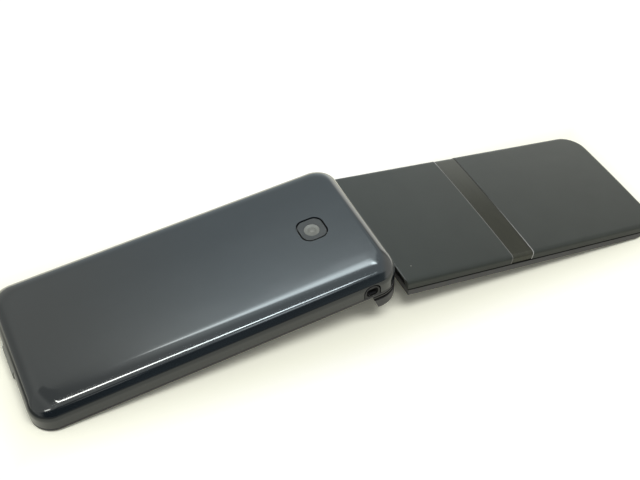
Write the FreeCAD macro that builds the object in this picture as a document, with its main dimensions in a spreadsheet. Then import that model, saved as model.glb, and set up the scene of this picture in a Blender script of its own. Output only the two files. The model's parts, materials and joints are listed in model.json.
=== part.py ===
import FreeCAD, Part
import math
import os
import Sketcher

# Flip phone, open and lying face down, so that it stands like a low tent on two edges.
#
# The base (keypad half) is drawn in its own frame: x runs from its bottom end to its hinge end, y from
# the near side to the far side, and z from the keypad face (z = 0) towards the back cover.
# The lid (display half) is drawn about the hinge axis: x runs from the axis to the lid's tip, and z from
# the display face towards the outer face. At the end both halves are turned into the resting pose, with
# the origin on the ground under the middle of the phone, +X from base to lid and +Z up.

VECTOR = FreeCAD.Vector
TOUCH = 1e-3
NEAR = -1
FAR = 1
HALF_ROUND = "half round"

doc = FreeCAD.newDocument("flip_phone")
sheet = doc.addObject("Spreadsheet::Sheet", "Sizes")

SIZES = (
    ("base_length", 113.1, "bottom end to hinge end"),
    ("base_width", 51.0, "across the base"),
    ("base_corner", 7.0, "corner radius of the base seen from above"),
    ("base_back", 9.3, "keypad face to the outside of the back cover"),
    ("cover_round", 5.0, "radius of the long edge round the back cover"),
    ("cover_wall", 1.1, "wall of the back cover"),
    ("cover_play", 0.3, "gap between the back cover and the rear case"),
    ("seam_gap", 0.25, "gap of the seam round the base"),
    ("case_wall", 1.2, "side wall of the rear case"),
    ("front_plate", 0.95, "thickness of the keypad face"),
    ("front_round", 0.6, "radius of the front edge of the base"),
    ("board_bottom", 2.2, "keypad face to the main board"),
    ("board_thickness", 0.8, "main board"),
    ("board_room", 3.4, "keypad face to the roof over the main board"),
    ("board_inset", 0.6, "gap round the main board"),
    ("bay_start", 12.0, "bottom end to the battery bay"),
    ("bay_length", 54.0, "battery bay along the base"),
    ("bay_width", 41.0, "battery bay across the base"),
    ("bay_floor", 4.0, "keypad face to the floor of the battery bay"),
    ("bay_corner", 1.5, "corner radius of the battery bay"),
    ("battery_play", 0.3, "gap round the battery"),
    ("battery_thickness", 3.6, "battery"),
    ("axis_inset", 3.46, "hinge end of the base to the hinge axis"),
    ("axis_drop", 3.095, "keypad face down to the hinge axis"),
    ("open_angle", 166.0, "degrees between closed and fully open"),
    ("knuckle_width", 10.0, "each outer hinge knuckle along the axis"),
    ("knuckle_drop", 4.0, "hinge axis down to the bottom of a knuckle"),
    ("knuckle_round", 2.4, "radius round the bottom of a knuckle"),
    ("knuckle_upper", 0.7, "part of the knuckle under the keypad face that is flush"),
    ("knuckle_groove", 1.2, "height of the groove round the knuckle"),
    ("groove_depth", 0.5, "depth of that groove"),
    ("hinge_gap", 0.3, "gap between the knuckles and the moving lid"),
    ("barrel_radius", 2.85, "middle barrel of the hinge"),
    ("unit_radius", 2.5, "click hinge unit"),
    ("unit_play", 0.05, "gap round the hinge unit and round the shafts"),
    ("shaft_radius", 1.5, "hinge shaft and hinge pin"),
    ("shaft_grip", 8.0, "length of shaft inside the barrel"),
    ("unit_end_wall", 4.6, "outer side of the base to the end of the hinge unit"),
    ("flex_room", 2.2, "radius of the hollow middle of the barrel"),
    ("lid_reach", 109.65, "hinge axis to the tip of the lid"),
    ("lid_width", 50.4, "across the lid"),
    ("lid_tip_corner", 8.0, "corner radius at the tip"),
    ("lid_end_corner", 1.0, "corner radius inside the hinge end of the lid"),
    ("lid_end_round", 0.4, "radius round the hinge end of the outer face"),
    ("lid_inside", 2.13, "hinge axis to the display face of the lid"),
    ("lid_seam", 0.97, "hinge axis to the seam of the lid"),
    ("lid_outside", 4.2, "hinge axis to the shoulders of the outer face"),
    ("lid_crown", 0.4, "rise of the outer face between its shoulders"),
    ("lid_round", 0.9, "radius of the shoulders"),
    ("lid_wall", 1.1, "walls of the lid"),
    ("lid_end_outer", 4.45, "hinge axis to the hinge end of the outer face"),
    ("lid_end_inner", 6.6, "hinge axis to the hinge end of the display face"),
    ("lid_step", 0.35, "size of the shadow groove at the seam"),
    ("lid_front_round", 0.8, "radius of the lid's edge round the display face"),
    ("lid_floor", 1.23, "display face to the floor inside the lid"),
    ("band_start", 45.2, "hinge axis to the window band"),
    ("band_length", 8.6, "window band along the lid"),
    ("band_bed", 0.7, "depth of the bed of the window band"),
    ("band_sunk", 0.12, "outer face down to the window band"),
    ("band_play", 0.08, "gap at the edges of the window band"),
    ("outside_display_width", 34.0, "outside display across the lid"),
    ("outside_display_length", 7.4, "outside display along the lid"),
    ("outside_display_thickness", 0.9, "outside display"),
    ("window_start", 13.0, "hinge axis to the display window"),
    ("window_length", 84.0, "display window along the lid"),
    ("window_width", 44.0, "display window across the lid"),
    ("window_thickness", 0.75, "display window"),
    ("window_corner", 2.0, "corner radius of the display window"),
    ("display_margin", 4.0, "ledge that carries the window, at its ends"),
    ("display_ledge", 1.4, "ledge that carries the window, at its sides"),
    ("display_thickness", 2.2, "main display module"),
    ("lid_board_gap", 0.15, "main display to the lid's board"),
    ("lid_board_thickness", 0.6, "lid's board"),
    ("key_proud", 0.42, "keypad face to the top of a key"),
    ("key_travel", 0.3, "travel of a key"),
    ("key_play", 0.22, "gap round a key in its hole"),
    ("key_lip", 0.45, "lip of a key beyond its hole"),
    ("key_lip_thickness", 0.25, "lip of a key"),
    ("key_lip_gap", 0.12, "keypad face plate to the lip of a key"),
    ("key_round", 0.3, "radius of a key's upper edge"),
    ("key_row_start", 14.5, "bottom end to the middle of the lowest row"),
    ("key_row_pitch", 10.0, "from row to row"),
    ("key_column_pitch", 15.2, "from column to column"),
    ("key_length", 8.6, "number key along the base"),
    ("key_width", 14.0, "number key across the base"),
    ("key_corner", 2.2, "corner radius of a number key"),
    ("pad_middle", 75.5, "bottom end to the middle of the ring key"),
    ("ring_radius", 12.2, "ring key, outside"),
    ("ring_hole", 5.7, "ring key, inside"),
    ("centre_key_radius", 5.35, "centre key"),
    ("function_offset", 5.1, "middle of the ring to the middle of a function key, along the base"),
    ("function_side", 18.2, "middle of the base to the middle of a function key"),
    ("function_length", 8.8, "function key along the base"),
    ("function_width", 8.2, "function key across the base"),
    ("mat_thickness", 0.3, "keypad mat"),
    ("dome_sheet_thickness", 0.2, "dome sheet"),
    ("mat_margin", 1.0, "keypad mat beyond the keys"),
    ("screw_end", 6.2, "bottom end to the lower case screws"),
    ("screw_upper", 92.5, "bottom end to the upper case screws"),
    ("screw_side", 19.5, "middle of the base to the case screws"),
    ("boss_radius", 2.0, "screw boss"),
    ("screw_radius", 0.8, "shank of a screw"),
    ("screw_head", 1.5, "radius of a screw's head"),
    ("screw_head_height", 0.8, "height of a screw's head"),
    ("screw_play", 0.3, "gap round screws and bosses"),
    ("camera_middle", 95.5, "bottom end to the middle of the camera"),
    ("camera_window_size", 8.0, "side of the camera window"),
    ("camera_window_thickness", 0.75, "camera window"),
    ("camera_window_corner", 1.5, "corner radius of the camera window"),
    ("camera_window_gap", 0.3, "gap round the camera window"),
    ("camera_window_sunk", 0.08, "back cover down to the camera window"),
    ("camera_body", 7.0, "side of the camera module"),
    ("camera_barrel", 3.0, "radius of the lens barrel"),
    ("camera_lens", 2.25, "radius of the front lens opening"),
    ("strap_middle", 102.7, "bottom end to the middle of the strap eye"),
    ("strap_eye_width", 5.0, "tab of the strap eye"),
    ("strap_eye_height", 4.2, "tab of the strap eye above the seam"),
    ("strap_gap", 0.3, "groove round the tab"),
    ("strap_tab", 1.3, "thickness of the tab"),
    ("strap_hole_width", 3.2, "hole in the tab"),
    ("strap_hole_height", 2.5, "hole in the tab"),
    ("strap_hole_lift", 0.6, "foot of the tab below its hole"),
    ("strap_room", 2.6, "free depth behind the tab"),
    ("port_width", 8.0, "charging connector"),
    ("port_height", 2.5, "charging connector"),
    ("port_depth", 5.2, "charging connector"),
    ("flap_width", 10.4, "port cover"),
    ("flap_bottom", 1.5, "keypad face to the port cover"),
    ("flap_height", 4.1, "port cover"),
    ("flap_proud", 0.45, "port cover beyond the end of the base"),
    ("flap_thickness", 1.3, "port cover"),
    ("flap_gap", 0.3, "gap round the port cover"),
    ("part_play", 0.3, "gap round the parts inside"),
    ("end_parts_start", 4.6, "bottom end to the antenna and to the motor"),
    ("antenna_length", 6.0, "antenna carrier along the base"),
    ("antenna_width", 9.0, "antenna carrier across the base"),
    ("antenna_height", 3.2, "antenna carrier"),
    ("motor_radius", 2.0, "vibration motor"),
    ("motor_length", 8.5, "vibration motor"),
    ("end_parts_side", 11.0, "middle of the base to the antenna and to the motor"),
    ("contact_length", 2.3, "battery contacts along the base"),
    ("contact_width", 12.0, "battery contacts across the base"),
    ("contact_height", 3.6, "battery contacts"),
    ("upper_parts_start", 70.0, "bottom end to the parts above the battery bay"),
    ("can_length", 18.5, "shield can along the base"),
    ("can_width", 17.0, "shield can across the base"),
    ("can_height", 2.3, "shield can"),
    ("upper_parts_side", 12.2, "middle of the base to the can and to the loudspeaker"),
    ("speaker_length", 17.0, "loudspeaker along the base"),
    ("speaker_width", 13.0, "loudspeaker across the base"),
    ("speaker_height", 3.2, "loudspeaker"),
    ("card_length", 15.5, "card in its holder, along the base"),
    ("card_width", 15.5, "card holder across the base"),
    ("card_recess", 1.4, "recess of the card holder"),
    ("microphone_radius", 2.0, "microphone"),
    ("microphone_hole", 0.5, "hole over the microphone"),
    ("microphone_side", 8.0, "middle of the base to the microphone"),
    ("earpiece_width", 11.0, "earpiece across the lid"),
    ("earpiece_length", 5.0, "earpiece along the lid"),
    ("earpiece_height", 2.4, "earpiece"),
    ("earpiece_inset", 5.6, "tip of the lid to the middle of the earpiece"),
    ("slot_width", 8.4, "earpiece slot across the lid"),
    ("slot_length", 1.6, "earpiece slot along the lid"),
    ("mesh_thickness", 0.35, "earpiece mesh"),
    ("bumper_inset", 9.2, "tip of the lid to the rubber bumpers"),
    ("bumper_side", 19.5, "middle of the lid to the rubber bumpers"),
    ("bumper_radius", 1.5, "rubber bumper"),
    ("bumper_bed", 0.5, "bed of a bumper or of a screw plug"),
    ("bumper_proud", 0.35, "rubber bumper beyond the display face"),
    ("lid_screw_start", 9.6, "hinge axis to the lid screws at the hinge end"),
    ("lid_screw_side", 21.8, "middle of the lid to those screws"),
    ("lid_boss_radius", 1.7, "screw boss in the lid"),
    ("magnet_size", 3.0, "magnet"),
    ("magnet_height", 1.5, "magnet"),
    ("magnet_side", 14.0, "middle of the lid to the magnet"),
)


class Size:
    """A length of the sheet, or a sum of such lengths: its number and the formula that gives it."""

    def __init__(self, value, text):
        self.value = value
        self.text = text

    def __add__(self, other):
        return Size(self.value + number(other), f"({self.text} + {formula(other)})")

    def __sub__(self, other):
        return Size(self.value - number(other), f"({self.text} - {formula(other)})")

    def __mul__(self, other):
        return Size(self.value * number(other), f"({self.text} * {formula(other)})")

    def __truediv__(self, other):
        return Size(self.value / number(other), f"({self.text} / {formula(other)})")

    def __radd__(self, other):
        return Size(number(other) + self.value, f"({formula(other)} + {self.text})")

    def __rsub__(self, other):
        return Size(number(other) - self.value, f"({formula(other)} - {self.text})")

    def __rmul__(self, other):
        return Size(number(other) * self.value, f"({formula(other)} * {self.text})")

    def __neg__(self):
        return Size(-self.value, f"(0 - {self.text})")


def number(size):
    return size.value if isinstance(size, Size) else float(size)


def root(size):
    return Size(math.sqrt(size.value), f"sqrt({size.text})")


def formula(size):
    return size.text if isinstance(size, Size) else f"({size:.6f})"


class NamedSizes:
    """The sheet's sizes under their names."""


def fill_sheet():
    names = NamedSizes()
    for row, (alias, value, meaning) in enumerate(SIZES, start=1):
        sheet.set(f"A{row}", alias)
        sheet.set(f"B{row}", str(value))
        sheet.set(f"C{row}", meaning)
        sheet.setAlias(f"B{row}", alias)
        setattr(names, alias, Size(value, f"Sizes.{alias}"))
    doc.recompute()
    return names


s = fill_sheet()
pieces = {"base": [], "lid": []}


def bind(thing, prop, size):
    thing.setExpression(prop, formula(size))


def new_piece(label, half="base"):
    piece = doc.addObject("PartDesign::Body", label)
    piece.Label = label
    piece.AllowCompound = True
    pieces[half].append(piece)
    return piece


def origin_plane(piece, role):
    return next(feature for feature in piece.Origin.OriginFeatures if feature.Role == role)


def new_sketch(piece, name, role, offset):
    sketch = piece.newObject("Sketcher::SketchObject", name)
    sketch.AttachmentSupport = [(origin_plane(piece, role), "")]
    sketch.MapMode = "FlatFace"
    bind(sketch, "AttachmentOffset.Base.z", offset)
    return sketch


class OutlineEdge:
    """One edge of an outline in its sketch, with its two ends in the order of the walk round it."""

    def __init__(self, index, first, last):
        self.index = index
        self.first = first
        self.last = last


def flat(point):
    return VECTOR(number(point[0]), number(point[1]), 0)


def add_arc(sketch, centre, start, end, turning_left):
    """Adds the short arc from start to end and says which of its ends comes first."""
    radius = (start - centre).Length
    angles = [math.atan2(p.y - centre.y, p.x - centre.x) for p in (start, end)]
    if not turning_left:
        angles.reverse()
    if angles[1] <= angles[0]:
        angles[1] += 2 * math.pi
    circle = Part.Circle(centre, VECTOR(0, 0, 1), radius)
    index = sketch.addGeometry(Part.ArcOfCircle(circle, angles[0], angles[1]), False)
    return OutlineEdge(index, 1, 2) if turning_left else OutlineEdge(index, 2, 1)


def fix_point(sketch, index, place):
    sketch.addConstraint(Sketcher.Constraint("DistanceX", -1, 1, index, 1, number(place[0])))
    bind(sketch, f"Constraints[{sketch.ConstraintCount - 1}]", place[0])
    sketch.addConstraint(Sketcher.Constraint("DistanceY", -1, 1, index, 1, number(place[1])))
    bind(sketch, f"Constraints[{sketch.ConstraintCount - 1}]", place[1])


def fix_radius(sketch, edge, radius):
    sketch.addConstraint(Sketcher.Constraint("Radius", edge.index, number(radius)))
    bind(sketch, f"Constraints[{sketch.ConstraintCount - 1}]", radius)


def draw_outline(sketch, outline):
    """Draws a closed outline through corners (u, v) or (u, v, radius), the latter rounded off.

    Its arcs give, for the edge that starts at a corner of that number, the radius of its arc: positive
    where the arc turns left along the walk, negative where it turns right, HALF_ROUND for a half circle.
    """
    corners, arcs = outline
    count = len(corners)
    places = [flat(corner) for corner in corners]
    points = []
    for corner, place in zip(corners, places):
        index = sketch.addGeometry(Part.Point(place), True)
        fix_point(sketch, index, corner)
        points.append(index)
    leave, arrive = list(places), list(places)
    rounds = {}
    for here, corner in enumerate(corners):
        if len(corner) < 3:
            continue
        back = (places[here - 1] - places[here]).normalize()
        ahead = (places[(here + 1) % count] - places[here]).normalize()
        half_turn = back.getAngle(ahead) / 2
        radius = number(corner[2])
        reach = radius / math.tan(half_turn)
        arrive[here] = places[here] + back * reach
        leave[here] = places[here] + ahead * reach
        middle = (back + ahead).normalize()
        centre = places[here] + middle * (radius / math.sin(half_turn))
        turning_left = (-back).cross(ahead).z > 0
        rounds[here] = add_arc(sketch, centre, arrive[here], leave[here], turning_left)
    sides = []
    for here in range(count):
        there = (here + 1) % count
        start, end = leave[here], arrive[there]
        if here in arcs:
            chord = end - start
            radius = chord.Length / 2 if arcs[here] == HALF_ROUND else abs(number(arcs[here]))
            turning_left = arcs[here] == HALF_ROUND or number(arcs[here]) > 0
            left = VECTOR(-chord.y, chord.x, 0).normalize()
            depth = math.sqrt(max(radius ** 2 - (chord.Length / 2) ** 2, 0))
            centre = (start + end) * 0.5 + left * (depth if turning_left else -depth)
            side = add_arc(sketch, centre, start, end, turning_left)
        else:
            side = OutlineEdge(sketch.addGeometry(Part.LineSegment(start, end), False), 1, 2)
        sides.append(side)
    for here, side in enumerate(sides):
        there = (here + 1) % count
        for corner, end, mate in ((here, side.first, "last"), (there, side.last, "first")):
            if corner in rounds:
                arc = rounds[corner]
                sketch.addConstraint(Sketcher.Constraint("PointOnObject", points[corner], 1, side.index))
                sketch.addConstraint(
                    Sketcher.Constraint("Tangent", side.index, end, arc.index, getattr(arc, mate)))
            else:
                sketch.addConstraint(Sketcher.Constraint("Coincident", side.index, end, points[corner], 1))
        if here in arcs and arcs[here] == HALF_ROUND:
            chord = sketch.addGeometry(Part.LineSegment(places[here], places[there]), True)
            sketch.addConstraint(Sketcher.Constraint("Coincident", chord, 1, points[here], 1))
            sketch.addConstraint(Sketcher.Constraint("Coincident", chord, 2, points[there], 1))
            sketch.addConstraint(Sketcher.Constraint("PointOnObject", side.index, 3, chord))
        elif here in arcs:
            size = arcs[here]
            fix_radius(sketch, side, size if number(size) > 0 else -size)
    for here, arc in rounds.items():
        fix_radius(sketch, arc, corners[here][2])


def extrude(piece, name, role, outlines, span, cut=False):
    """Adds or cuts the outlines' area between the two ends of span, square to the sketch's plane."""
    start, end = span
    offset = -end if role == "XZ_Plane" else start
    sketch = new_sketch(piece, name + "_outline", role, offset)
    for outline in outlines:
        draw_outline(sketch, outline)
    kind = "PartDesign::Pocket" if cut else "PartDesign::Pad"
    feature = piece.newObject(kind, name)
    feature.Profile = sketch
    feature.Reversed = cut
    bind(feature, "Length", end - start)
    return feature


def rounded(x, y, radius, tip_radius=None):
    """Outline of a rectangle with round corners, the two at the far end of x with their own radius."""
    tip_radius = radius if tip_radius is None else tip_radius
    corners = [(x[0], y[0], radius), (x[1], y[0], tip_radius), (x[1], y[1], tip_radius), (x[0], y[1], radius)]
    return corners, {}


def slab(piece, name, x, y, z, radius, cut=False, tip_radius=None):
    return extrude(piece, name, "XY_Plane", [rounded(x, y, radius, tip_radius)], z, cut)


def block(piece, name, x, y, z, cut=False):
    kind = "PartDesign::SubtractiveBox" if cut else "PartDesign::AdditiveBox"
    feature = piece.newObject(kind, name)
    for prop, span in (("Length", x), ("Width", y), ("Height", z)):
        bind(feature, prop, span[1] - span[0])
    for axis, span in (("x", x), ("y", y), ("z", z)):
        bind(feature, f"Placement.Base.{axis}", span[0])
    return feature


def rod(piece, name, along, centre, radius, span, cut=False):
    """A round bar, or a round hole where it cuts, along one axis; centre is given in the other two."""
    kind = "PartDesign::SubtractiveCylinder" if cut else "PartDesign::AdditiveCylinder"
    feature = piece.newObject(kind, name)
    bind(feature, "Radius", radius)
    bind(feature, "Height", span[1] - span[0])
    turns = {"x": (VECTOR(0, 1, 0), 90), "y": (VECTOR(1, 0, 0), -90), "z": (VECTOR(0, 0, 1), 0)}
    feature.Placement = FreeCAD.Placement(VECTOR(0, 0, 0), FreeCAD.Rotation(*turns[along]))
    others = [axis for axis in "xyz" if axis != along]
    for axis, size in zip(others, centre):
        bind(feature, f"Placement.Base.{axis}", size)
    bind(feature, f"Placement.Base.{along}", span[0])
    return feature


def round_edges(piece, name, radius, wanted):
    """Rounds off every edge of the piece for which wanted(edge) is true."""
    doc.recompute()
    before = piece.Tip
    names = [f"Edge{n}" for n, edge in enumerate(before.Shape.Edges, start=1) if wanted(edge)]
    if not names:
        raise RuntimeError(f"{piece.Label}: no edges for {name}")
    feature = piece.newObject("PartDesign::Fillet", name)
    feature.Base = (before, names)
    bind(feature, "Radius", radius)
    return feature


def lies_at(edge, axis, size):
    return all(abs(getattr(point, axis) - number(size)) < TOUCH for point in edge.discretize(5))


def centred(size):
    return (-size / 2, size / 2)


def around(middle, size):
    return (middle - size / 2, middle + size / 2)


def grown(span, by):
    return (span[0] - by, span[1] + by)


# Places and sizes of the base that several pieces share
axis_x = s.base_length - s.axis_inset
axis_z = -s.axis_drop
base_x = (0, s.base_length)
base_y = centred(s.base_width)
cover_rim = s.front_plate + s.seam_gap
cover_roof = s.base_back - s.cover_wall
case_inset = s.cover_wall + s.cover_play
case_x = (base_x[0] + case_inset, base_x[1] - case_inset)
case_y = (base_y[0] + case_inset, base_y[1] - case_inset)
case_top = cover_roof - s.cover_play
board_top = s.board_bottom + s.board_thickness
bay_x = (s.bay_start, s.bay_start + s.bay_length)
bay_y = centred(s.bay_width)
knuckle_bottom = axis_z - s.knuckle_drop
knuckle_split = -(s.knuckle_upper + s.knuckle_groove)
screw_places = [(x, side * s.screw_side) for x in (s.screw_end, s.screw_upper) for side in (NEAR, FAR)]



def trim_to_plan(piece, name, x, y, radius, z):
    """Cuts away what stands outside the rounded plan outline between two heights."""
    beyond = s.base_corner * 2
    frame = rounded(grown(x, beyond), grown(y, beyond), s.base_corner)
    extrude(piece, name, "XY_Plane", [frame, rounded(x, y, radius)], z, cut=True)


def make_back_cover():
    """Thin shell over the whole back, with the camera window's hole and two notches in its rim."""
    cover = new_piece("back_cover")
    slab(cover, "shell", base_x, base_y, (cover_rim, s.base_back), s.base_corner)
    inner_x, inner_y = grown(base_x, -s.cover_wall), grown(base_y, -s.cover_wall)
    slab(cover, "inside", inner_x, inner_y, (cover_rim, cover_roof), s.base_corner - s.cover_wall, cut=True)
    round_edges(cover, "inner_edge", s.cover_round - s.cover_wall, lambda e: lies_at(e, "z", cover_roof))
    round_edges(cover, "long_edge", s.cover_round, lambda e: lies_at(e, "z", s.base_back))
    hole = s.camera_window_size + 2 * s.camera_window_gap
    slab(cover, "camera_hole", around(s.camera_middle, hole), centred(hole), (cover_roof - 1, s.base_back + 1),
         s.camera_window_corner + s.camera_window_gap, cut=True)
    notch_x = around(s.strap_middle, s.strap_eye_width + 2 * s.strap_gap)
    notch_top = cover_rim + s.strap_eye_height + s.strap_gap
    extrude(cover, "strap_notch", "XZ_Plane", [arch(notch_x, cover_rim - 1, notch_top)],
            (base_y[0] - 1, base_y[0] + s.cover_wall + 1), cut=True)
    flap_y = grown(centred(s.flap_width), s.flap_gap)
    block(cover, "port_notch", (base_x[0] - 1, base_x[0] + s.cover_wall + 1), flap_y,
          (cover_rim - 1, s.flap_bottom + s.flap_height + s.flap_gap), cut=True)
    rib_z = (cover_roof - s.cover_play / 2, cover_roof)
    for n in range(1, 4):
        middle = bay_x[0] + s.bay_length * n / 4
        block(cover, f"rib_{n}", around(middle, s.cover_wall), centred(s.bay_width / 2), rib_z)


def arch(x, foot, top):
    """Outline of an arch: straight feet and a half-round head over its full width."""
    spring = top - (x[1] - x[0]) / 2
    return [(x[0], foot), (x[1], foot), (x[1], spring), (x[0], spring)], {2: HALF_ROUND}


def make_rear_case():
    """Chassis under the back cover: battery bay, rooms for the parts on the board and the strap eye."""
    case = new_piece("rear_case")
    rear_round = s.cover_round - case_inset
    slab(case, "body", case_x, case_y, (s.front_plate, case_top), s.base_corner - case_inset)
    round_edges(case, "long_edge", rear_round, lambda e: lies_at(e, "z", case_top))
    room_x, room_y = grown(case_x, -s.case_wall), grown(case_y, -s.case_wall)
    room_corner = s.base_corner - case_inset - s.case_wall
    slab(case, "board_room", room_x, room_y, (s.front_plate, s.board_room), room_corner, cut=True)
    slab(case, "battery_bay", bay_x, bay_y, (s.bay_floor, case_top + 1), s.bay_corner, cut=True)
    for name, (x, y, height) in part_rooms().items():
        block(case, name + "_room", grown(x, s.part_play), grown(y, s.part_play),
              (s.board_room - 0.5, board_top + height + s.part_play), cut=True)
    contact_x, contact_y = contact_place()
    block(case, "contact_slot", (bay_x[1] - 0.5, contact_x[1] + s.part_play), grown(contact_y, s.part_play),
          (s.front_plate + 1, case_top + 1), cut=True)
    card_x, card_y = card_place()
    slab(case, "card_recess", grown(card_x, s.part_play), grown(card_y, s.part_play),
         (case_top - s.card_recess, case_top + 1), 1, cut=True)
    camera = s.camera_body + 2 * s.part_play
    block(case, "camera_room", around(s.camera_middle, camera), centred(camera),
          (s.board_room - 0.5, camera_body_top() + s.part_play / 2), cut=True)
    rod(case, "lens_hole", "z", (s.camera_middle, 0), s.camera_barrel + s.part_play,
        (s.board_room, case_top + 1), cut=True)
    for n, (x, y) in enumerate(screw_places):
        rod(case, f"head_room_{n}", "z", (x, y), s.screw_head + s.screw_play,
            (case_top - s.screw_head_height - 0.4, case_top + 1), cut=True)
        rod(case, f"shank_hole_{n}", "z", (x, y), s.screw_radius + s.screw_play / 2,
            (s.board_room - 0.5, case_top), cut=True)
    port_y = grown(centred(s.port_width), s.part_play)
    block(case, "port_hole", (case_x[0] - 1, case_x[0] + s.port_depth + s.part_play), port_y,
          (board_top - s.part_play, board_top + s.port_height + s.part_play), cut=True)
    make_strap_eye(case)


def make_strap_eye(case):
    """Tab with a hole, flush with the cover's side, and the free room behind it for the strap."""
    tab_x = around(s.strap_middle, s.strap_eye_width)
    tab_y = (base_y[0] + s.strap_gap / 3, base_y[0] + s.strap_gap / 3 + s.strap_tab)
    tab_top = cover_rim + s.strap_eye_height
    room_x = grown(tab_x, s.strap_gap * 2)
    block(case, "strap_room", room_x, (case_y[0] - 1, tab_y[1] + s.strap_room),
          (s.front_plate + s.strap_hole_lift, tab_top + 2 * s.strap_gap), cut=True)
    extrude(case, "strap_tab", "XZ_Plane", [arch(tab_x, s.front_plate, tab_top)], tab_y)
    block(case, "strap_foot", tab_x, (tab_y[0] + s.strap_tab / 2, case_y[0] + 1),
          (s.front_plate, s.front_plate + s.strap_hole_lift))
    hole_z = (cover_rim + s.strap_hole_lift, cover_rim + s.strap_hole_lift + s.strap_hole_height)
    extrude(case, "strap_hole", "XZ_Plane",
            [rounded(around(s.strap_middle, s.strap_hole_width), hole_z, s.strap_hole_height / 3)],
            (tab_y[0] - 1, tab_y[1] + 0.5), cut=True)


def contact_place():
    start = bay_x[1] + s.part_play / 3
    return (start, start + s.contact_length), centred(s.contact_width)


def card_place():
    x = (s.upper_parts_start, s.upper_parts_start + s.card_length)
    return x, around(-s.upper_parts_side, s.card_width)


def camera_body_top():
    return case_top - 0.8


def part_rooms():
    """The tall parts on the board: x and y spans and height of each."""
    start = s.end_parts_start
    upper = s.upper_parts_start
    return {
        "antenna": ((start, start + s.antenna_length), around(s.end_parts_side, s.antenna_width),
                    s.antenna_height),
        "motor": ((start, start + 2 * s.motor_radius), around(-s.end_parts_side, s.motor_length),
                  2 * s.motor_radius),
        "can": ((upper, upper + s.can_length), around(-s.upper_parts_side, s.can_width), s.can_height),
        "speaker": ((upper, upper + s.speaker_length), around(s.upper_parts_side, s.speaker_width),
                    s.speaker_height),
    }


def knuckle_face(z):
    """Place along the base of the knuckle's slanted face, a gap away from the closed lid's end."""
    run, rise, length, nearest = lid_end_face()
    return axis_x - s.lid_end_inner + (axis_z + s.lid_inside - z) * run / rise + s.hinge_gap * length / rise


def knuckle_outline(top, bottom):
    """Side view of the upper part of a knuckle."""
    corners = [(knuckle_face(bottom), bottom), (s.base_length, bottom), (s.base_length, top),
               (knuckle_face(top), top)]
    return corners, {}


def knuckle_relief(top, bottom):
    """Side view of what a knuckle leaves free for the lid.

    It ends at the slanted face, and below the foot of that face at an arc about the hinge axis that stays
    inside what the lid's end sweeps over.
    """
    run, rise, length, nearest = lid_end_face()
    reach = nearest - s.hinge_gap
    foot = (axis_x - reach * rise / length, axis_z - reach * run / length)
    below = axis_z - bottom
    corner = axis_x - root(reach * reach - below * below)
    beyond = axis_x - s.lid_end_inner * 3
    corners = [(beyond, bottom), (corner, bottom), foot, (knuckle_face(top), top), (beyond, top)]
    return corners, {1: -reach}


def lid_end_face():
    """Run, rise and length of the lid's slanted hinge end, and how near it comes to the axis."""
    run = s.lid_end_inner - s.lid_end_outer
    rise = s.lid_inside + s.lid_outside
    length = root(run * run + rise * rise)
    nearest = (s.lid_end_inner * rise - s.lid_inside * run) / length
    return run, rise, length, nearest


def knuckle_span(side, inner=0, outer=0):
    """The knuckle's stretch of the hinge axis, drawn in by inner and outer at its two ends."""
    half = s.base_width / 2
    if side == FAR:
        return (half - s.knuckle_width + inner, half - outer)
    return (outer - half, s.knuckle_width - half - inner)


def make_front_case():
    """Keypad face with the key holes, the screw bosses and the upper part of both hinge knuckles."""
    case = new_piece("front_case")
    slab(case, "plate", base_x, base_y, (0, s.front_plate), s.base_corner)
    round_edges(case, "front_edge", s.front_round, lambda e: lies_at(e, "z", 0))
    for side, word in ((NEAR, "near"), (FAR, "far")):
        extrude(case, f"knuckle_{word}", "XZ_Plane", [knuckle_outline(s.front_plate, knuckle_split)],
                knuckle_span(side))
    trim_to_plan(case, "knuckle_corners", base_x, base_y, s.base_corner, (knuckle_split - 1, s.front_plate))
    inset = s.groove_depth
    trim_to_plan(case, "knuckle_groove", grown(base_x, -inset), grown(base_y, -inset), s.base_corner - inset,
                 (knuckle_split, -s.knuckle_upper))
    for side, word in ((NEAR, "near"), (FAR, "far")):
        span = knuckle_span(side, outer=s.unit_end_wall)
        span = (span[0] - 1, span[1]) if side == FAR else (span[0], span[1] + 1)
        rod(case, f"unit_bore_{word}", "y", (axis_x, axis_z), s.unit_radius + s.unit_play, span, cut=True)
    for n, (x, y) in enumerate(screw_places):
        rod(case, f"boss_{n}", "z", (x, y), s.boss_radius, (s.front_plate / 2, s.board_room))
        rod(case, f"thread_{n}", "z", (x, y), s.screw_radius, (s.front_plate, s.board_room + 1), cut=True)
    for label, x, y, size_x, size_y, corner in key_layout():
        slab(case, f"hole_{label}", grown(around(x, size_x), s.key_play), grown(around(y, size_y), s.key_play),
             (-1, s.front_plate + 1), corner + s.key_play, cut=True)
    rod(case, "hole_ring", "z", (s.pad_middle, 0), s.ring_radius + s.key_play,
        (-1, s.front_plate + 1), cut=True)
    rod(case, "microphone_hole", "z", (microphone_x(), s.microphone_side), s.microphone_hole,
        (-1, s.front_plate + 1), cut=True)


def microphone_x():
    return case_x[0] + s.case_wall + s.part_play + s.microphone_radius


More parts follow.
